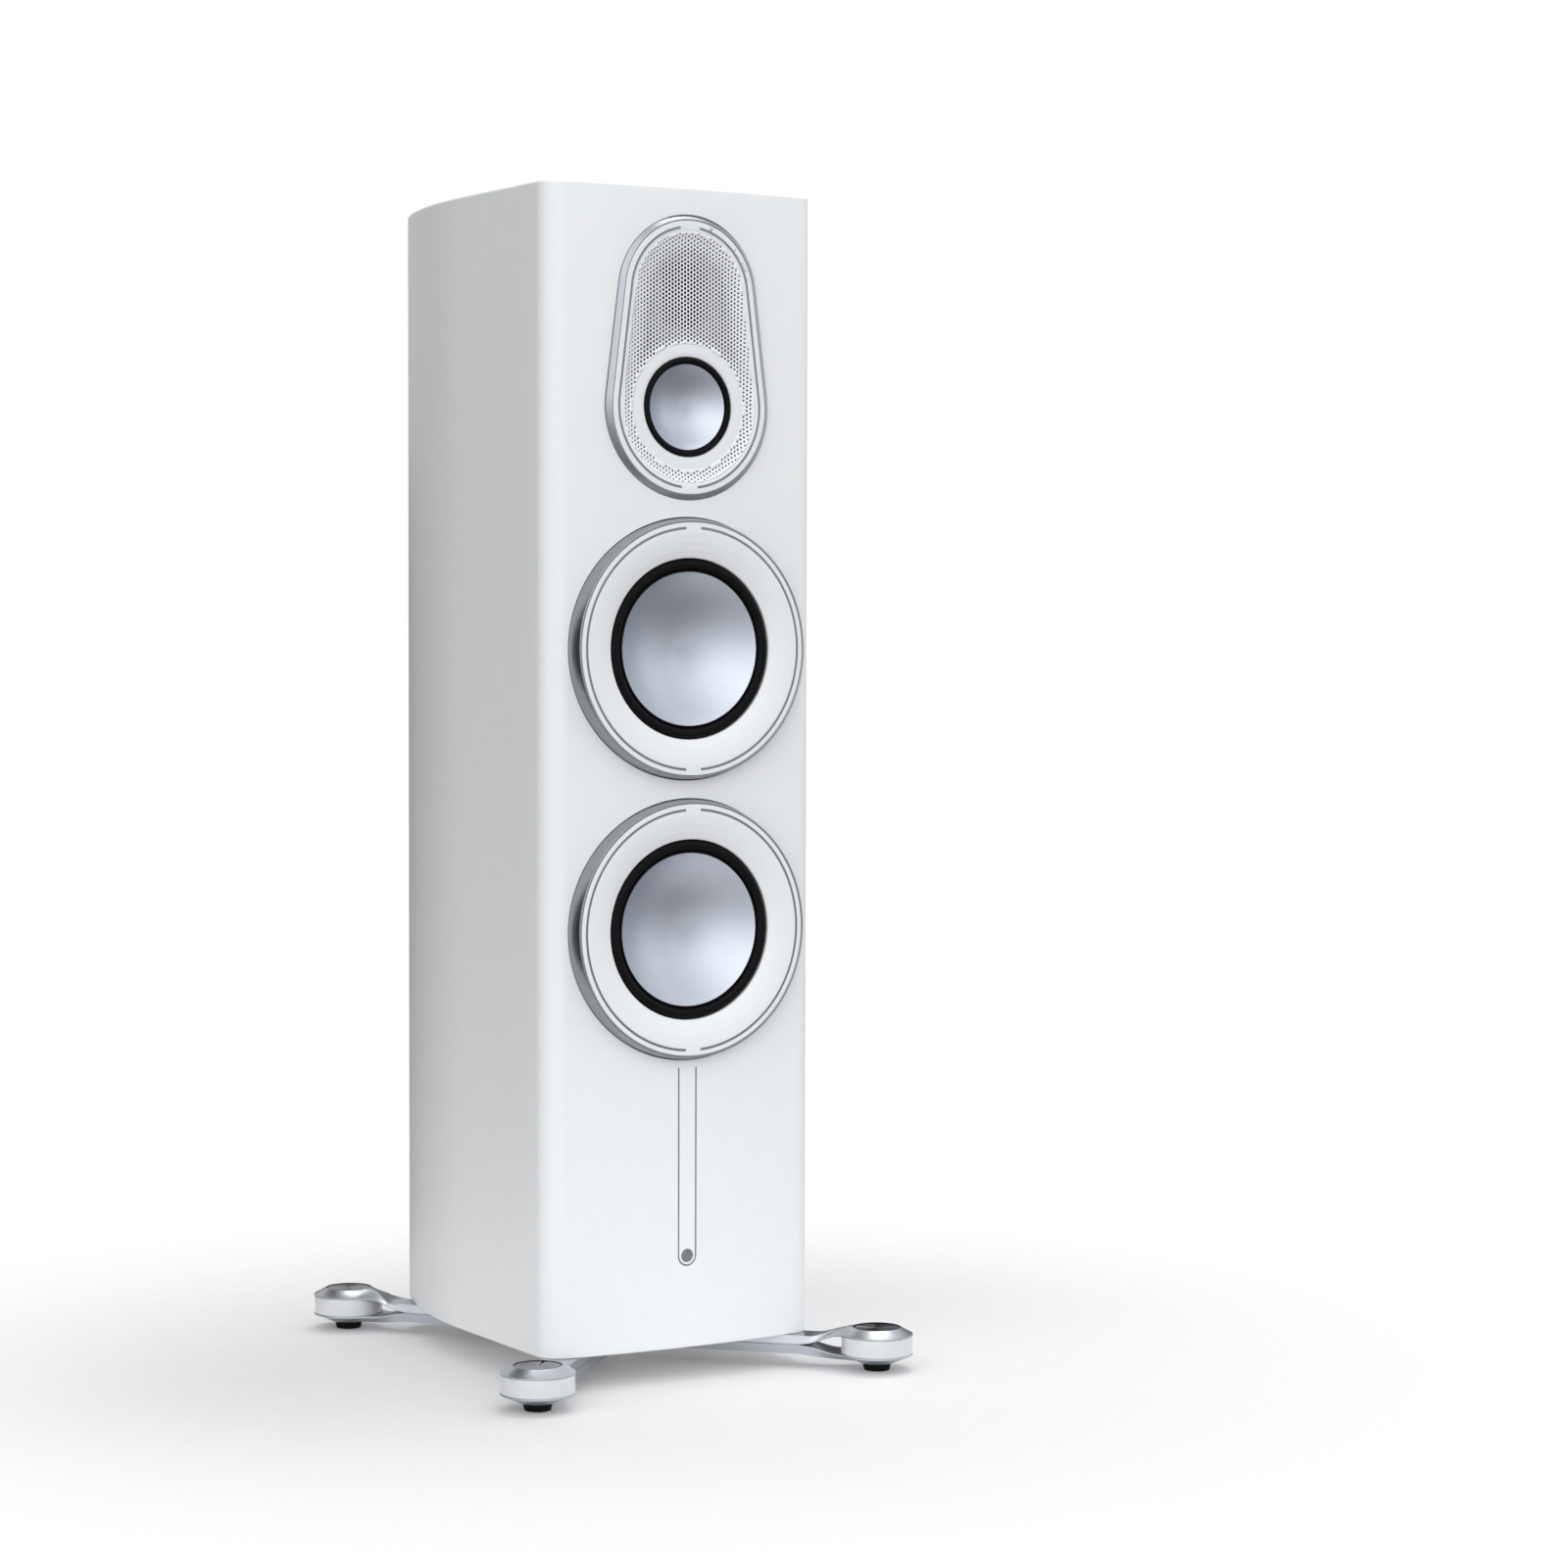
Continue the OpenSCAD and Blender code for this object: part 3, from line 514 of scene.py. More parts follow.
def cabinet_outline():
    """Points and outward normals of the cabinet's plan, anticlockwise from the middle of the front."""
    side_x = HALF_W
    centre_y = FRONT_Y + FRONT_R
    edge_y = centre_y - math.sqrt((FRONT_R - EDGE_R) ** 2 - (side_x - EDGE_R) ** 2)
    meet = math.degrees(math.atan2(edge_y - centre_y, side_x - EDGE_R))
    curve_y = FRONT_Y + BULGE + EDGE_R + SIDE_STRAIGHT
    rear_y = BACK_Y - REAR_R
    rear_x = side_x - SIDE_R + math.sqrt((SIDE_R - REAR_R) ** 2 - (rear_y - curve_y) ** 2)
    end = math.degrees(math.atan2(rear_y - curve_y, rear_x - side_x + SIDE_R))
    half = arc_points(0, centre_y, FRONT_R, -90, meet, 30)
    half += arc_points(side_x - EDGE_R, edge_y, EDGE_R, meet, 0, 14)[1:]
    half += [(side_x, edge_y + (curve_y - edge_y) * i / 8) for i in range(1, 8)]
    half += arc_points(side_x - SIDE_R, curve_y, SIDE_R, 0, end, 30)
    half += arc_points(rear_x, rear_y, REAR_R, end, 90, 12)[1:]
    half += [(rear_x * (1 - i / 5), BACK_Y) for i in range(1, 5)]
    outline = half + [(0, BACK_Y)] + [(-x, y) for x, y in half[:0:-1]]
    normals = []
    for i in range(len(outline)):
        a, b = Vector(outline[i - 1]), Vector(outline[(i + 1) % len(outline)])
        t = (b - a).normalized()
        normals.append((t.y, -t.x))
    return outline, normals


def cabinet_loop(z, inset, outline):
    points, normals = outline
    return [(x - nx * inset, y - ny * inset, z) for (x, y), (nx, ny) in zip(points, normals)]


def plate_loop(inset, depth, arcs=(64, 80)):
    """Outline of the oblong plate, drawn in by an inset."""
    lean = math.degrees(math.asin((PLATE_LOW_R - PLATE_HIGH_R) / (TWEETER_Z - MID_Z)))
    points = arc_points(0, TWEETER_Z, PLATE_HIGH_R - inset, lean, 180 - lean, arcs[0])
    points += arc_points(0, MID_Z, PLATE_LOW_R - inset, 180 - lean, 360 + lean, arcs[1])
    return [(x, depth, z) for x, z in points]


ring_low, ring_high = box_mm("upper_bass_bezel")
RING_Y = ring_low[1]
RING_R = (ring_high[0] - ring_low[0]) / 2
BASS_Z = {side: middle(side + "_bass_bezel")[2] for side in ("upper", "lower")}
plate_low, plate_high = box_mm("plate_bezel")
PLATE_Y = plate_low[1]
MID_Z = middle("mid_ring")[2]
PLATE_LOW_R = MID_Z - plate_low[2] + 0.2
PLATE_HIGH_R = 67
TWEETER_Z = plate_high[2] + 0.2 - PLATE_HIGH_R
REBATE_Y = plate_high[1]


def cabinet():
    outline = cabinet_outline()
    round_top, round_base = 2.6, 1.6
    levels = [(base_low[2], round_base)]
    for i in range(1, 6):
        a = math.radians(18 * i)
        levels.append((base_low[2] + round_base * (1 - math.cos(a)), round_base * (1 - math.sin(a))))
    for i in range(6):
        a = math.radians(18 * i)
        levels.append((top_high[2] - round_top * (1 - math.sin(a)), round_top * (1 - math.cos(a))))
    loops = [cabinet_loop(z, inset, outline) for z, inset in levels]
    shell = place_mesh("cabinet_shell", *skin(loops, caps=True), (0, 0, 0), "lacquer",
                       replaced=("cabinet_wrap", "front_baffle", "top_panel", "base_panel"))
    for side in BASS_Z:
        cut(shell, *disc_tool(RING_R + 0.15, 60), (0, RING_Y - 5, BASS_Z[side]))
    cut(shell, *skin([plate_loop(-0.05, y) for y in (PLATE_Y - 5, REBATE_Y + 30)], caps=True), (0, 0, 0))
    cut(shell, *skin(strip_loops(inlay_path(), INLAY_W / 2, ((0, FRONT_Y - 3), (0, FRONT_Y + 1.2))), caps=True),
        (0, 0, 0))
    cut(shell, *disc_tool(BADGE_R + 0.25, 8, 64), (0, FRONT_Y - 5.5, BADGE_Z))
    for z in PORT_Z:
        cut(shell, *disc_tool(33, 240), (0, BACK_Y - 230, z))
    tray = [(x, y, z) for y in (BACK_Y - 22, BACK_Y + 5) for x, z in
            ((-35.8, -35.8), (35.8, -35.8), (35.8, 35.8), (-35.8, 35.8))]
    cut(shell, *skin([tray[:4], tray[4:]], caps=True), (0, 0, TERMINAL_Z))
    return shell


# ---- Front inlay and badge ----

inlay_low, inlay_high = box_mm("front_inlay")
INLAY_W = 1.5
INLAY_X = inlay_high[0] - 0.8
BADGE_Z = middle("badge_disc")[2]
BADGE_R = (box_mm("badge_disc")[1][0] - box_mm("badge_disc")[0][0]) / 2


def inlay_path():
    down = [(-INLAY_X, inlay_high[2] - 0.8 - (inlay_high[2] - 0.8 - BADGE_Z) * i / 6) for i in range(6)]
    return down + arc_points(0, BADGE_Z, INLAY_X, 180, 360, 32) + [(x * -1, z) for x, z in down[::-1]]


def front_inlay():
    levels = ((0.12, FRONT_Y + 1.1), (0.12, FRONT_Y + 0.42), (0.3, FRONT_Y + 0.3))
    place_mesh("front_inlay_strip", *skin(strip_loops(inlay_path(), INLAY_W / 2, levels), caps=True),
               (0, 0, 0), "inlay", replaced=("front_inlay",))
    profile = [(0, -0.35), (BADGE_R - 1.5, -0.35)] + fillet(
        [(BADGE_R - 1.2, -0.1, 0.15), (BADGE_R - 0.9, -0.5, 0.2), (BADGE_R, -0.5, 0.2), (BADGE_R, 1.4, 0)],
        closed=False) + [(0, 1.4)]
    lathe("badge_button", profile, (0, FRONT_Y, BADGE_Z), "inlay", steps=96, closed=False,
          replaced=("badge_disc",))


# ---- Bass drivers ----

FACE_R = 107.3
INLAY_R = 102.5
INLAY_HALF = 1.1
GAP = 14
CONE_BOW = 2.2


def ring_paths(radius):
    """Two half-circle paths with a gap at the top and at the bottom."""
    open_angle = math.degrees(math.asin((GAP / 2 + 1) / radius))
    return [arc_points(0, 0, radius, a + open_angle, a + 180 - open_angle, 90) for a in (-90, 90)]


def plate_paths(inset):
    """The same for the oblong plate: one path down each side."""
    loop = [(x, z) for x, _, z in plate_loop(inset, 0)]
    paths = []
    for sign in (1, -1):
        keep = [p for p in loop if p[0] * sign > GAP / 2 + 1]
        jump = max(range(len(keep)), key=lambda i: (Vector(keep[i]) - Vector(keep[i - 1])).length)
        keep = keep[jump:] + keep[:jump]
        paths.append(dense(keep))
    return paths


def dense(path, step=2.5):
    out = [path[0]]
    for a, b in zip(path, path[1:]):
        parts = max(1, round((Vector(b) - Vector(a)).length / step))
        out += [(a[0] + (b[0] - a[0]) * i / parts, a[1] + (b[1] - a[1]) * i / parts) for i in range(1, parts + 1)]
    return out


def dish(radius, rim, deep, steps, thick):
    """Profile of a cone's two skins: steep near the rim and flat in the middle."""
    front = [(radius * i / steps, rim + deep * (1 - (i / steps) ** CONE_BOW)) for i in range(steps + 1)]
    return front + [(r, h + thick) for r, h in front[::-1]]


def half_roll(radius, depth, size, angles):
    return [(radius + size * math.cos(math.radians(a)), depth - size * math.sin(math.radians(a))) for a in angles]


def bass_driver(side):
    at = (0, RING_Y, BASS_Z[side])
    body = side + "_bass_moving"
    flank = fillet([
        (FACE_R + 0.25, 0.35, 0.25), (FACE_R + 0.6, 0, 0.3), (FACE_R + 2.0, 0, 0.5), (FACE_R + 2.35, 1.0, 0.5),
        (RING_R - 1.4, 5.5, 8), (RING_R - 0.4, 11, 8), (RING_R - 0.05, 17, 0), (RING_R - 0.05, 22.7, 0),
        (100, 22.7, 0), (100, 14, 0), (FACE_R + 0.25, 14, 0)])
    lathe(side + "_ring", flank, at, "silver_turned", steps=256, replaced=(side + "_bass_bezel",))
    face = fillet([
        (FACE_R, 0.3, 0.3), (FACE_R - 0.3, 0, 0.2), (98, 0, 20), (91, 0.9, 10), (84, 2.6, 10), (78.6, 4.7, 2),
        (77.2, 5.4, 0.8), (77, 6.6, 0.3), (77, 9, 0), (84, 9, 0), (96, 14, 0), (FACE_R, 14, 0)], steps=5)
    trim = lathe(side + "_trim", face, at, "trim_white", steps=256, replaced=(side + "_bass_face",))
    for path in ring_paths(INLAY_R):
        cut(trim, *skin(strip_loops(path, INLAY_HALF, ((0, -1), (0, 0.9))), caps=True), at)
    lathe(side + "_cone", dish(65.3, 7, 25, 40, 1.2), at, "cone", steps=256, closed=False, body=body,
          replaced=(side + "_bass_cone",))
    roll = half_roll(72, 9.1, 4.6, range(0, 181, 9))
    under = half_roll(72, 10, 3.7, range(180, -1, -9))
    lip = fillet([(67.2, 8.3, 0.2), (66.9, 7.0, 0.5), (65.7, 6.4, 0.4), (65.4, 7.0, 0.2), (65.5, 8.4, 0),
                  (66.6, 10, 0)], closed=False)
    profile = [(82, 10), (82, 9.1)] + roll + lip + under
    surround(side + "_surround", profile, at, body, 76.6, 66.9, side + "_bass_surround")
    weave = [(19.4 + i / 2, 43.1 - 0.45 * math.cos(i * 0.85)) for i in range(45)]
    weave += [(r, h + 0.4) for r, h in weave[::-1]]
    surround(side + "_damper", weave, at, body, 40.5, 21, side + "_bass_spider", "cloth")


def surround(name, profile, at, body, outer_r, inner_r, cad_node, material="rubber"):
    """Ring that bends between the frame, at outer_r, and the cone or its coil, at inner_r."""
    piece = lathe(name, profile, at, material, steps=192, replaced=(cad_node,), blended=True)
    start = [c * MM for c in (at[0] + outer_r, at[1], at[2])]
    end = [c * MM for c in (at[0] + inner_r, at[1], at[2])]
    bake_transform(piece, "root", body, start, end)
    weights = piece.data.attributes["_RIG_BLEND"]
    for v, weight in zip(piece.data.vertices, weights.data):
        r = math.hypot(v.co.x / MM - at[0], v.co.z / MM - at[2])
        t = min(1, max(0, (outer_r - r) / (outer_r - inner_r)))
        weight.value = t * t * (3 - 2 * t)


def ring_inlays():
    loops_of = []
    for side in BASS_Z:
        for path in ring_paths(INLAY_R):
            moved = [(x, z + BASS_Z[side]) for x, z in path]
            loops_of.append((moved, RING_Y))
    for path in plate_paths(PLATE_INLAY_INSET):
        loops_of.append((path, PLATE_Y))
    verts, faces = [], []
    for path, y in loops_of:
        levels = ((0.05, y + 0.88), (0.05, y + 0.3), (0.2, y + 0.16))
        gather(verts, faces, skin(strip_loops(path, INLAY_HALF, levels), caps=True))
    place_mesh("inlay_arcs", verts, faces, (0, 0, 0), "inlay", replaced=("ring_inlays",))


# ---- Oblong plate ----

PLATE_INLAY_INSET = 10.7
SHEET_INSET = 14
SHEET_DEPTH = 3.2
HOLE_PITCH = 3.5
MID_RING_R = 53
PAN_DEPTH = 6.4
PAN_HOLE_R = 46
PAN_WINDOW = (36, 38)


def inset_at(x, z):
    """Distance inwards from the plate's outline."""
    height = TWEETER_Z - MID_Z
    b = (PLATE_LOW_R - PLATE_HIGH_R) / height
    a = math.sqrt(1 - b * b)
    px, pz = abs(x), z - MID_Z
    k = -b * px + a * pz
    if k < 0:
        return PLATE_LOW_R - math.hypot(px, pz)
    if k > a * height:
        return PLATE_HIGH_R - math.hypot(px, pz - height)
    return PLATE_LOW_R - (a * px + b * pz)


def sheet_depth(inset):
    t = min(1, max(0, (inset - 12.4) / 13.6))
    return SHEET_DEPTH * (1 - (1 - t) ** 2) * (0.35 + 0.65 * min(1, t * 2))


def plate():
    bezel = fillet([
        (0.2, 14, 0), (0.2, 3.6, 0.8), (4.1, 0.1, 0.6), (4.75, 0.3, 0.3), (4.75, 14, 0)], steps=5)
    place_mesh("plate_rim", *skin([plate_loop(i, PLATE_Y + d) for i, d in bezel], wrap=True), (0, 0, 0), "silver_bezel",
               replaced=("plate_bezel",))
    border = fillet([(5.1, 6, 0), (5.1, 0.25, 0.2), (5.4, 0, 0.2), (12.4, 0, 0)], closed=False)
    border += [(12.4 + 0.2 * i, sheet_depth(12.4 + 0.2 * i)) for i in range(1, 9)] + [(SHEET_INSET, 6)]
    face = place_mesh("plate_border", *skin([plate_loop(i, PLATE_Y + d) for i, d in border], wrap=True), (0, 0, 0),
                      "trim_white", replaced=("plate_face",))
    for path in plate_paths(PLATE_INLAY_INSET):
        groove = strip_loops(path, INLAY_HALF, ((0, PLATE_Y - 1), (0, PLATE_Y + 0.9)))
        cut(face, *skin(groove, caps=True), (0, 0, 0))


def sheet_holes():
    """Centre and radius of each hole: a hexagonal pattern whose holes shrink towards the sheet's edges."""
    holes = []
    for column in range(-24, 25):
        x = column * HOLE_PITCH * math.sqrt(3) / 2
        for row in range(-28, 60):
            z = MID_Z + (row + (column % 2) / 2) * HOLE_PITCH
            inset = inset_at(x, z)
            clear = math.hypot(x, z - MID_Z) - MID_RING_R
            if inset < 15.4 or clear < 1.8:
                continue
            holes.append((x, z, 0.70 + 0.60 * min(1, (inset - 15.4) / 18) * min(1, 0.5 + clear / 14)))
    return holes


def perforated_sheet():
    holes = sheet_holes()
    loops = [[(x, z) for x, _, z in plate_loop(SHEET_INSET, 0)], circle(MID_RING_R, 160, 0, MID_Z)]
    for x, z, size in holes:
        loops.append([(x + size * math.cos(math.pi * (i + 0.5) / 6), z + size * math.sin(math.pi * (i + 0.5) / 6))
                      for i in range(12)])
    verts, triangles = triangles_over(loops)
    cells = {}
    for x, z, size in holes:
        cells.setdefault((round(x / 4), round(z / 4)), []).append((x, z, size))
    kept = []
    for tri in triangles:
        x, z = centre_of(tri, verts)
        if inset_at(x, z) < SHEET_INSET or math.hypot(x, z - MID_Z) < MID_RING_R - 0.02:
            continue
        near = [h for dx in (-1, 0, 1) for dz in (-1, 0, 1) for h in
                cells.get((round(x / 4) + dx, round(z / 4) + dz), ())]
        if any(math.hypot(x - hx, z - hz) < size * 0.93 for hx, hz, size in near):
            continue
        kept.append(tri)
    solid = [(v[0], PLATE_Y + sheet_depth(inset_at(v[0], v[1])), v[1]) for v in verts]
    thicken(place_mesh("perforated_sheet", solid, kept, (0, 0, 0), "mesh", replaced=("mesh_grille",)), 0.7)


def thicken(obj, gauge):
    """Gives a sheet its thickness, on the side away from the front."""
    faces_out = sum(p.normal.y * p.area for p in obj.data.polygons) < 0
    thick = obj.modifiers.new("gauge", "SOLIDIFY")
    thick.thickness = gauge * MM
    thick.offset = -1 if faces_out else 1


def backing():
    """Grey pan behind the sheet, open for the midrange and for the tweeter's flange."""
    outline = [(x, z) for x, _, z in plate_loop(SHEET_INSET - 0.2, 0)]
    corners = [(x * PAN_WINDOW[0], TWEETER_Z + z * PAN_WINDOW[1], 3) for x, z in
               ((1, 1), (-1, 1), (-1, -1), (1, -1))]
    verts, triangles = triangles_over([outline, circle(PAN_HOLE_R, 120, 0, MID_Z), fillet(corners, steps=5)])
    kept = []
    for tri in triangles:
        x, z = centre_of(tri, verts)
        in_window = abs(x) < PAN_WINDOW[0] and abs(z - TWEETER_Z) < PAN_WINDOW[1]
        if math.hypot(x, z - MID_Z) > PAN_HOLE_R and not in_window and inset_at(x, z) > SHEET_INSET - 0.4:
            kept.append(tri)
    pan = [(v[0], PLATE_Y + PAN_DEPTH, v[1]) for v in verts]
    thicken(place_mesh("plate_pan", pan, kept, (0, 0, 0), "horn_grey", replaced=("plate_face",)), 0.8)


def mid_driver():
    at = (0, PLATE_Y, MID_Z)
    d = SHEET_DEPTH
    ring = fillet([
        (MID_RING_R, d, 0), (46, d, 4), (43.2, d + 0.35, 0.5), (42.4, d + 0.9, 0.3), (42.2, d + 2.2, 0),
        (46, d + 2.4, 0), (MID_RING_R, d + 2.4, 0)])
    lathe("mid_trim", ring, at, "trim_white", replaced=("mid_ring",))
    lathe("mid_cone_skin", dish(36.2, 5, 14, 32, 1.0), at, "cone", closed=False, body="mid_moving",
          replaced=("mid_cone",))
    roll = half_roll(39.6, 4.3, 2.3, range(0, 181, 9))
    under = half_roll(39.6, 5, 1.6, range(180, -1, -9))
    profile = [(44, 5), (44, 4.3)] + roll + [(37, 4.2), (36.6, 4.0), (36.4, 4.6), (36.4, 5.4), (36.9, 5.4)] + under
    surround("mid_edge", profile, at, "mid_moving", 41.9, 37.0, "mid_surround")


def tweeter():
    """Light horn behind the sheet, with a dark throat in front of the film."""
    low, high = box_mm("tweeter_housing")
    half_x, half_z = (high[0] - low[0]) / 2, (high[2] - low[2]) / 2

    def rect(hx, hz, radius, y):
        corners = [(hx, hz, radius), (-hx, hz, radius), (-hx, -hz, radius), (hx, -hz, radius)]
        return [(x, y, z) for x, z in fillet(corners, steps=6)]

    front = low[1]
    loops = [rect(half_x, half_z, 5, front + 3.8), rect(half_x, half_z, 5, front + 0.4),
             rect(half_x - 0.4, half_z - 0.4, 5, front), rect(24, 30, 9, front), rect(22.6, 28.6, 8.4, front + 0.4),
             rect(21.8, 27.6, 8, front + 1.6), rect(19.5, 25.6, 6, front + 9), rect(18.5, 25, 5, front + 14)]
    place_mesh("horn", *skin(loops), (0, 0, TWEETER_Z), "horn_grey")
    shell = [rect(30.9, 32.9, 2, front + 3.9), rect(30.9, 32.9, 2, high[1]), rect(18.6, 25.1, 4, high[1]),
             rect(18.6, 25.1, 4, front + 8)]
    place_mesh("tweeter_can", *skin(shell, wrap=True), (0, 0, TWEETER_Z), "black_plastic",
               replaced=("tweeter_housing",))


# ---- Ports and terminals ----

PORT_Z = sorted(((box_mm("port_tubes")[0][2] + 39), (box_mm("port_tubes")[1][2] - 39)))
tray_low, tray_high = box_mm("terminal_tray")
TERMINAL_Z = middle("terminal_tray")[2]


def ports():
    verts, faces = [], []
    flare = fillet([(30, -119.8, 0), (30, -6, 12), (32.6, 1.3, 4), (36.5, 2.5, 3), (38.8, 1.7, 0.8), (39, 0.05, 0),
                    (32.9, 0.05, 0), (32.9, -119.8, 0)], steps=6)
    for z in PORT_Z:
        gather(verts, faces, skin([[(x, BACK_Y + h, up) for x, up in circle(r, 160, 0, z)] for r, h in flare],
                                  wrap=True))
    place_mesh("port_flares", verts, faces, (0, 0, 0), "black_plastic", replaced=("port_tubes",))


def terminals():
    def square(half, radius, y):
        corners = [(half, half, radius), (-half, half, radius), (-half, -half, radius), (half, -half, radius)]
        return [(x, y, z) for x, z in fillet(corners, steps=6)]

    front = tray_high[1]
    loops = [square(35.6, 4, tray_low[1]), square(35.6, 4, BACK_Y + 0.02), square(41.9, 7, BACK_Y + 0.02),
             square(41.9, 7, front - 0.9), square(41.2, 6.6, front - 0.15), square(40.2, 6, front),
             square(36.4, 4.5, front), square(36, 4.3, front - 0.5), square(35.2, 4, front - 0.5),
             square(34.8, 4, front - 0.2)]
    place_mesh("terminal_plate", *skin(loops, caps=True), (0, 0, TERMINAL_Z), "black_plastic",
               replaced=("terminal_tray",))
    for side in ("left", "right"):
        low, high = box_mm(side + "_washer")
        mid_x, mid_z = (low[0] + high[0]) / 2, (low[2] + high[2]) / 2
        washer = fillet([(3.06, 0, 0.2), (8, 0, 0.4), (8, 2, 0.4), (3.06, 2, 0.2)])
        lathe(side + "_clamp", washer, (mid_x, low[1], mid_z), "terminal_metal", steps=96, body=side + "_washer",
              replaced=(side + "_washer",))
        low, high = box_mm(side + "_knob")
        knob_loops = []
        profile = fillet([(3.06, 0, 0.3), (8.4, 0, 0.5), (8.4, 3, 0.3), (9, 3.5, 0.2), (9, 14.8, 0.6),
                          (8.2, 15.6, 0.4), (8.0, 17, 0.7), (3.06, 17, 0.4)])
        for r, h in profile:
            loop = []
            for i in range(240):
                a = 2 * math.pi * i / 240
                dip = 0.55 * max(0, math.cos(a * 24)) if r > 8.6 and 3.8 < h < 14.9 else 0
                loop.append(((r - dip) * math.cos(a), h, (r - dip) * math.sin(a)))
            knob_loops.append(loop)
        place_mesh(side + "_nut", *skin(knob_loops, wrap=True), (mid_x, low[1], mid_z), "terminal_metal",
                   body=side + "_knob", replaced=(side + "_knob",), sharp=40)


# ---- Feet ----

FEET = {}
for corner, angle, length in (("front_left", 46, 205), ("front_right", 134, 205), ("rear_left", -55, 190),
                              ("rear_right", 235, 190)):
    x, y, _ = middle(corner + "_adjuster")
    low, high = box_mm(corner + "_pad")
    FEET[corner] = ((low[0] + high[0]) / 2, (low[1] + high[1]) / 2, math.radians(angle), length)

BAR_HALF = 13.5
PUCK_R = 31.3


def ease(x, start, end):
    t = min(1, max(0, (x - start) / (end - start)))
    return t * t * (3 - 2 * t)


def arm_outline(head_r, bar_half, leave, length, join=58):
    """Half outline from the tip of the head to the far end of the bar: a circle, a flare and a straight side."""
    points = [(head_r * math.cos(math.radians(180 - (180 - leave) * i / 40)),
               head_r * math.sin(math.radians(180 - (180 - leave) * i / 40))) for i in range(41)]
    sx, sy = points[-1]
    slope = Vector((math.sin(math.radians(leave)), -math.cos(math.radians(leave))))
    reach = (join - sx) * 0.5
    for i in range(1, 25):
        t = i / 24
        a, b = Vector((sx, sy)), Vector((sx, sy)) + slope * reach
        c, d = Vector((join - reach * 0.8, bar_half)), Vector((join, bar_half))
        p = a * (1 - t) ** 3 + b * 3 * t * (1 - t) ** 2 + c * 3 * t * t * (1 - t) + d * t ** 3
        points.append((p.x, p.y))
    points += [(join + (length - join) * i / 16, bar_half) for i in range(1, 17)]
    points += [(length + bar_half * math.sin(math.radians(9 * i)), bar_half * math.cos(math.radians(9 * i)))
               for i in range(1, 11)]
    return points


def whole(half):
    return half + [(x, -y) for x, y in half[-2:0:-1]]


def arm_piece(levels, far_height, near_height, hole_r, near_hole_r):
    """Skins an arm through levels of (outline, height function), then closes both faces with triangles."""
    loops = []
    for outline, height in levels:
        loops.append([(x, y, height(x)) for x, y in outline])
    verts, faces = skin(loops)
    for loop, height, hole in ((levels[0][0], near_height, near_hole_r), (levels[-1][0], far_height, hole_r)):
        gather(verts, faces, fill(loop, height, hole))
    return verts, faces


def fill(outline, height, hole_r):
    """Triangles over an outline with a round hole about the origin, shaped by a height function."""
    loose = []
    for i in range(1, 60):
        x = i * 3.5
        for y in (-8.5, -4.2, 0, 4.2, 8.5):
            if hole_r + 1.2 < math.hypot(x, y) and x < outline[len(outline) // 2][0] - 6:
                if inside((x, y), outline, 0.8):
                    loose.append((x, y))
    verts, triangles = triangles_over([outline, circle(hole_r, 96)], loose, 1e-6)
    kept = []
    for tri in triangles:
        centre = centre_of(tri, verts)
        if math.hypot(*centre) > hole_r * 0.9995 and inside(centre, outline, 0):
            kept.append(tri)
    return [(v[0], v[1], height(v[0])) for v in verts], kept


def inside(point, outline, margin):
    """True if point lies in a closed outline, at least margin from its corners."""
    x, y = point
    hit = False
    for (x1, y1), (x2, y2) in zip(outline, outline[1:] + outline[:1]):
        if (y1 > y) != (y2 > y) and x < (x2 - x1) * (y - y1) / (y2 - y1) + x1:
            hit = not hit
    return hit and (not margin or min(math.hypot(x - a, y - b) for a, b in outline) > margin)


def mixed(a, b, t):
    return [(p[0] + (q[0] - p[0]) * t, p[1] + (q[1] - p[1]) * t) for p, q in zip(a, b)]


def upper_arm(length):
    def top(x):
        return 37 - 9 * ease(x, 20, 58)

    def under(x):
        return 30.0 - 10 * ease(x, 28, 66)

    wide = whole(arm_outline(PUCK_R, BAR_HALF, 52, length))
    wide_in = whole(arm_outline(PUCK_R - 0.6, BAR_HALF - 0.6, 52, length))
    crest = whole(arm_outline(20.9, BAR_HALF - 0.8, 26, length))
    crest_out = mixed(crest, wide, 0.05)
    levels = [(wide_in, under), (wide, lambda x: under(x) + 0.5), (wide, lambda x: under(x) + 1.3)]
    for i in range(1, 7):
        t = i / 7
        ring = mixed(wide, crest_out, t ** 0.93)
        levels.append((ring, lambda x, t=t: (under(x) + 1.3) * (1 - t) + (top(x) - 0.35) * t))
    levels += [(crest_out, lambda x: top(x) - 0.35), (crest, top)]
    return arm_piece(levels, top, under, 20.35, 4.6)


def lower_arm(length):
    def top(x):
        return 14.6 + 5.4 * ease(x, 34, 66)

    def under(x):
        return 6.2 + 5.8 * ease(x, 20, 70)

    wide = whole(arm_outline(PUCK_R, BAR_HALF, 52, length))
    wide_in = whole(arm_outline(PUCK_R - 0.6, BAR_HALF - 0.6, 52, length))
    keel = whole(arm_outline(14.6, BAR_HALF - 0.8, 30, length))
    keel_out = mixed(keel, wide, 0.05)
    levels = [(wide_in, top), (wide, lambda x: top(x) - 0.5), (wide, lambda x: top(x) - 1.5)]
    for i in range(1, 7):
        t = i / 7
        levels.append((mixed(wide, keel_out, t ** 0.9),
                       lambda x, t=t: (top(x) - 1.5) * (1 - t) + (under(x) + 0.35) * t))
    levels += [(keel_out, lambda x: under(x) + 0.35), (keel, under)]
    return arm_piece(levels, under, top, 12.6, 12.6)


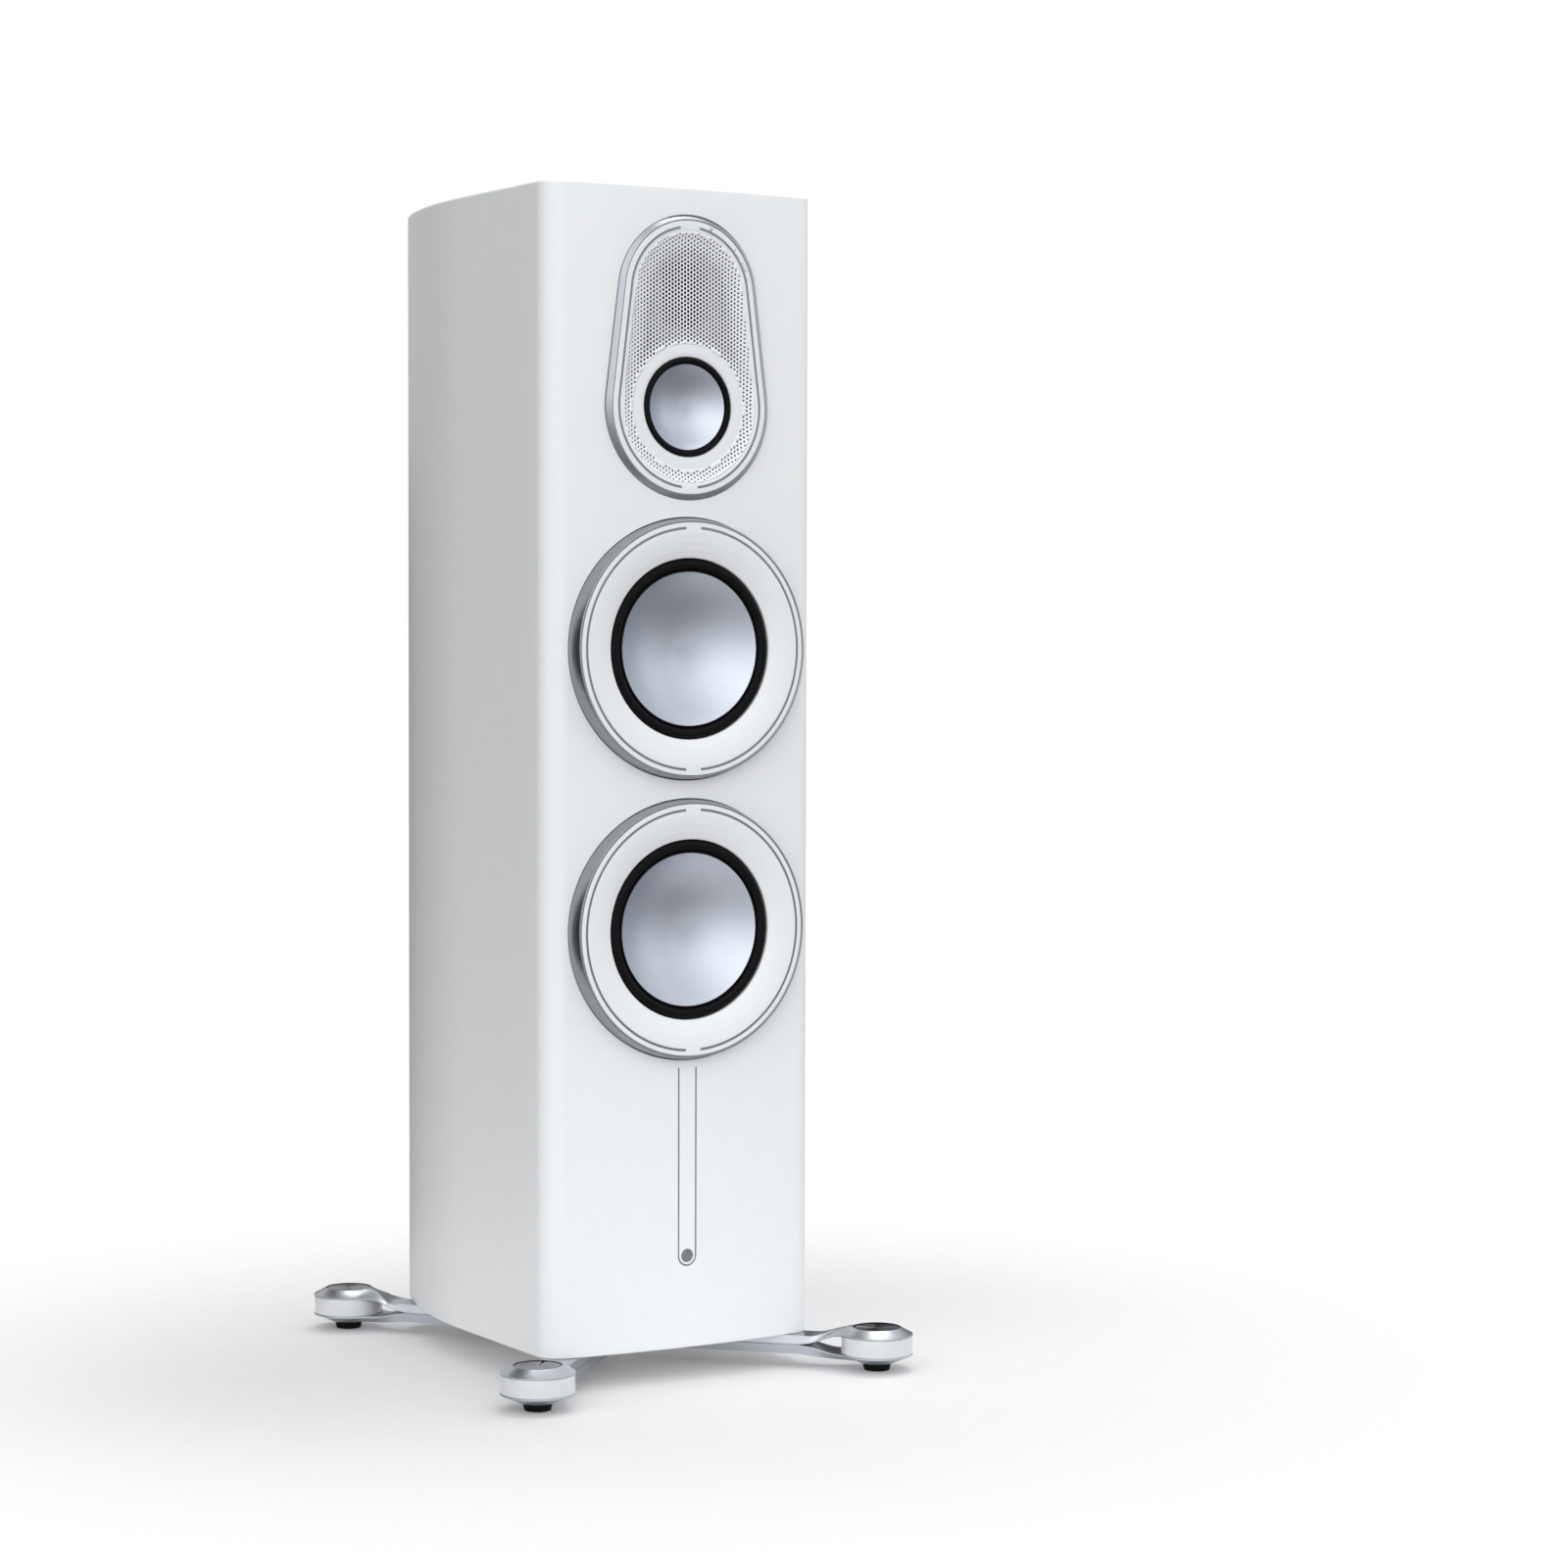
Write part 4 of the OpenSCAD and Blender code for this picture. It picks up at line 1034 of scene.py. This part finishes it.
def feet():
    verts = {"upper": [], "lower": [], "puck": []}
    faces = {"upper": [], "lower": [], "puck": []}

    def add(kind, shape, foot):
        x0, y0, angle, _ = foot
        c, s = math.cos(angle), math.sin(angle)
        placed = [(x0 + x * c - y * s, y0 + x * s + y * c, z) for x, y, z in shape[0]]
        gather(verts[kind], faces[kind], (placed, shape[1]))

    puck = fillet([(12.5, 14.6, 0), (PUCK_R - 0.15, 14.6, 0.7), (PUCK_R - 0.15, 30, 0.7), (12.5, 30, 0)])
    for corner, foot in FEET.items():
        add("upper", upper_arm(foot[3]), foot)
        add("lower", lower_arm(foot[3]), foot)
        add("puck", skin([[(x, y, h) for x, y in circle(r, 128)] for r, h in puck], wrap=True), foot)
        x, y, angle, _ = foot
        adjuster(corner, x, y, angle)
        pad(corner, x, y)
    place_mesh("outrigger_tops", verts["upper"], faces["upper"], (0, 0, 0), "silver", replaced=("upper_arms",),
               sharp=28)
    place_mesh("outrigger_bases", verts["lower"], faces["lower"], (0, 0, 0), "silver", replaced=("lower_arms",),
               sharp=28)
    place_mesh("foot_pucks", verts["puck"], faces["puck"], (0, 0, 0), "puck_white_painted_shade", replaced=("pucks",))


def adjuster(corner, x, y, angle):
    """Spun cap with a notch in its edge, on a threaded spindle."""
    top = fillet([(0, 36.3, 0), (19.2, 36.5, 0.6), (19.95, 36.1, 0.3), (19.95, 33.4, 0.3), (4.6, 33.3, 0)],
                 closed=False)
    thread = []
    z = 33
    while z > 10.5:
        thread += [(4, z), (3.5, z - 0.5)]
        z -= 1
    loops = []
    for r, h in top + thread + [(0, 10)]:
        loop = []
        for i in range(240):
            a = 2 * math.pi * i / 240
            away = abs((a - angle + math.pi) % (2 * math.pi) - math.pi) * max(r, 1)
            low = h - 1.3 if r > 17.4 and h > 35 and away < 1.5 else h
            loop.append((r * math.cos(a), r * math.sin(a), low))
        loops.append(loop)
    place_mesh(corner + "_cap", *skin(loops), (x, y, 0), "silver_spun", body=corner + "_adjuster",
               replaced=(corner + "_adjuster",))


def pad(corner, x, y):
    """Ribbed rubber sole under a keyed steel block."""
    sole = fillet([(4.06, 1.5, 0), (0, 1.5, 0), (0, 0.4, 0), (9, 0.4, 0.2), (9.4, 0, 0.2), (11.2, 0, 0.6),
                   (11.6, 1.6, 0.3), (11.4, 2.1, 0.2), (11.9, 2.6, 0.3), (12.1, 5.1, 0.5), (11.6, 5.5, 0.3),
                   (4.06, 5.5, 0)], closed=False)
    lathe(corner + "_sole", sole, (x, y, 0), "rubber", axis="Z", steps=128, closed=True, body=corner + "_pad",
          replaced=(corner + "_pad",))
    foot_angle = FEET[corner][2]
    square = fillet([(8, 8, 1), (-8, 8, 1), (-8, -8, 1), (8, -8, 1)], steps=4)
    c, s = math.cos(foot_angle), math.sin(foot_angle)
    ring = circle(4.06, len(square))
    start = min(range(len(ring)), key=lambda i: math.hypot(square[0][0] - 2 * ring[i][0],
                                                           square[0][1] - 2 * ring[i][1]))
    ring = ring[start:] + ring[:start]
    loops = [[(u * c - v * s, u * s + v * c, h) for u, v in outline] for outline, h in
             ((ring, 5.5), (square, 5.5), (square, 23.6), (ring, 23.99))]
    place_mesh(corner + "_key", *skin(loops, wrap=True), (x, y, 0), "steel", body=corner + "_pad")


def repaint_cad():
    """Pieces that stay as the CAD shaped them get the finish of their slot."""
    slots = {part["node"]: part["material_slot"] for part in frame["record"]["subparts"]}
    for name, obj in NODES.items():
        if obj.hide_render:
            continue
        for material_slot in obj.material_slots:
            material_slot.material = MAT[slots[name]]


camera()
studio()
floor()
cabinet()
front_inlay()
for which in BASS_Z:
    bass_driver(which)
ring_inlays()
plate()
perforated_sheet()
backing()
mid_driver()
tweeter()
ports()
terminals()
feet()
repaint_cad()
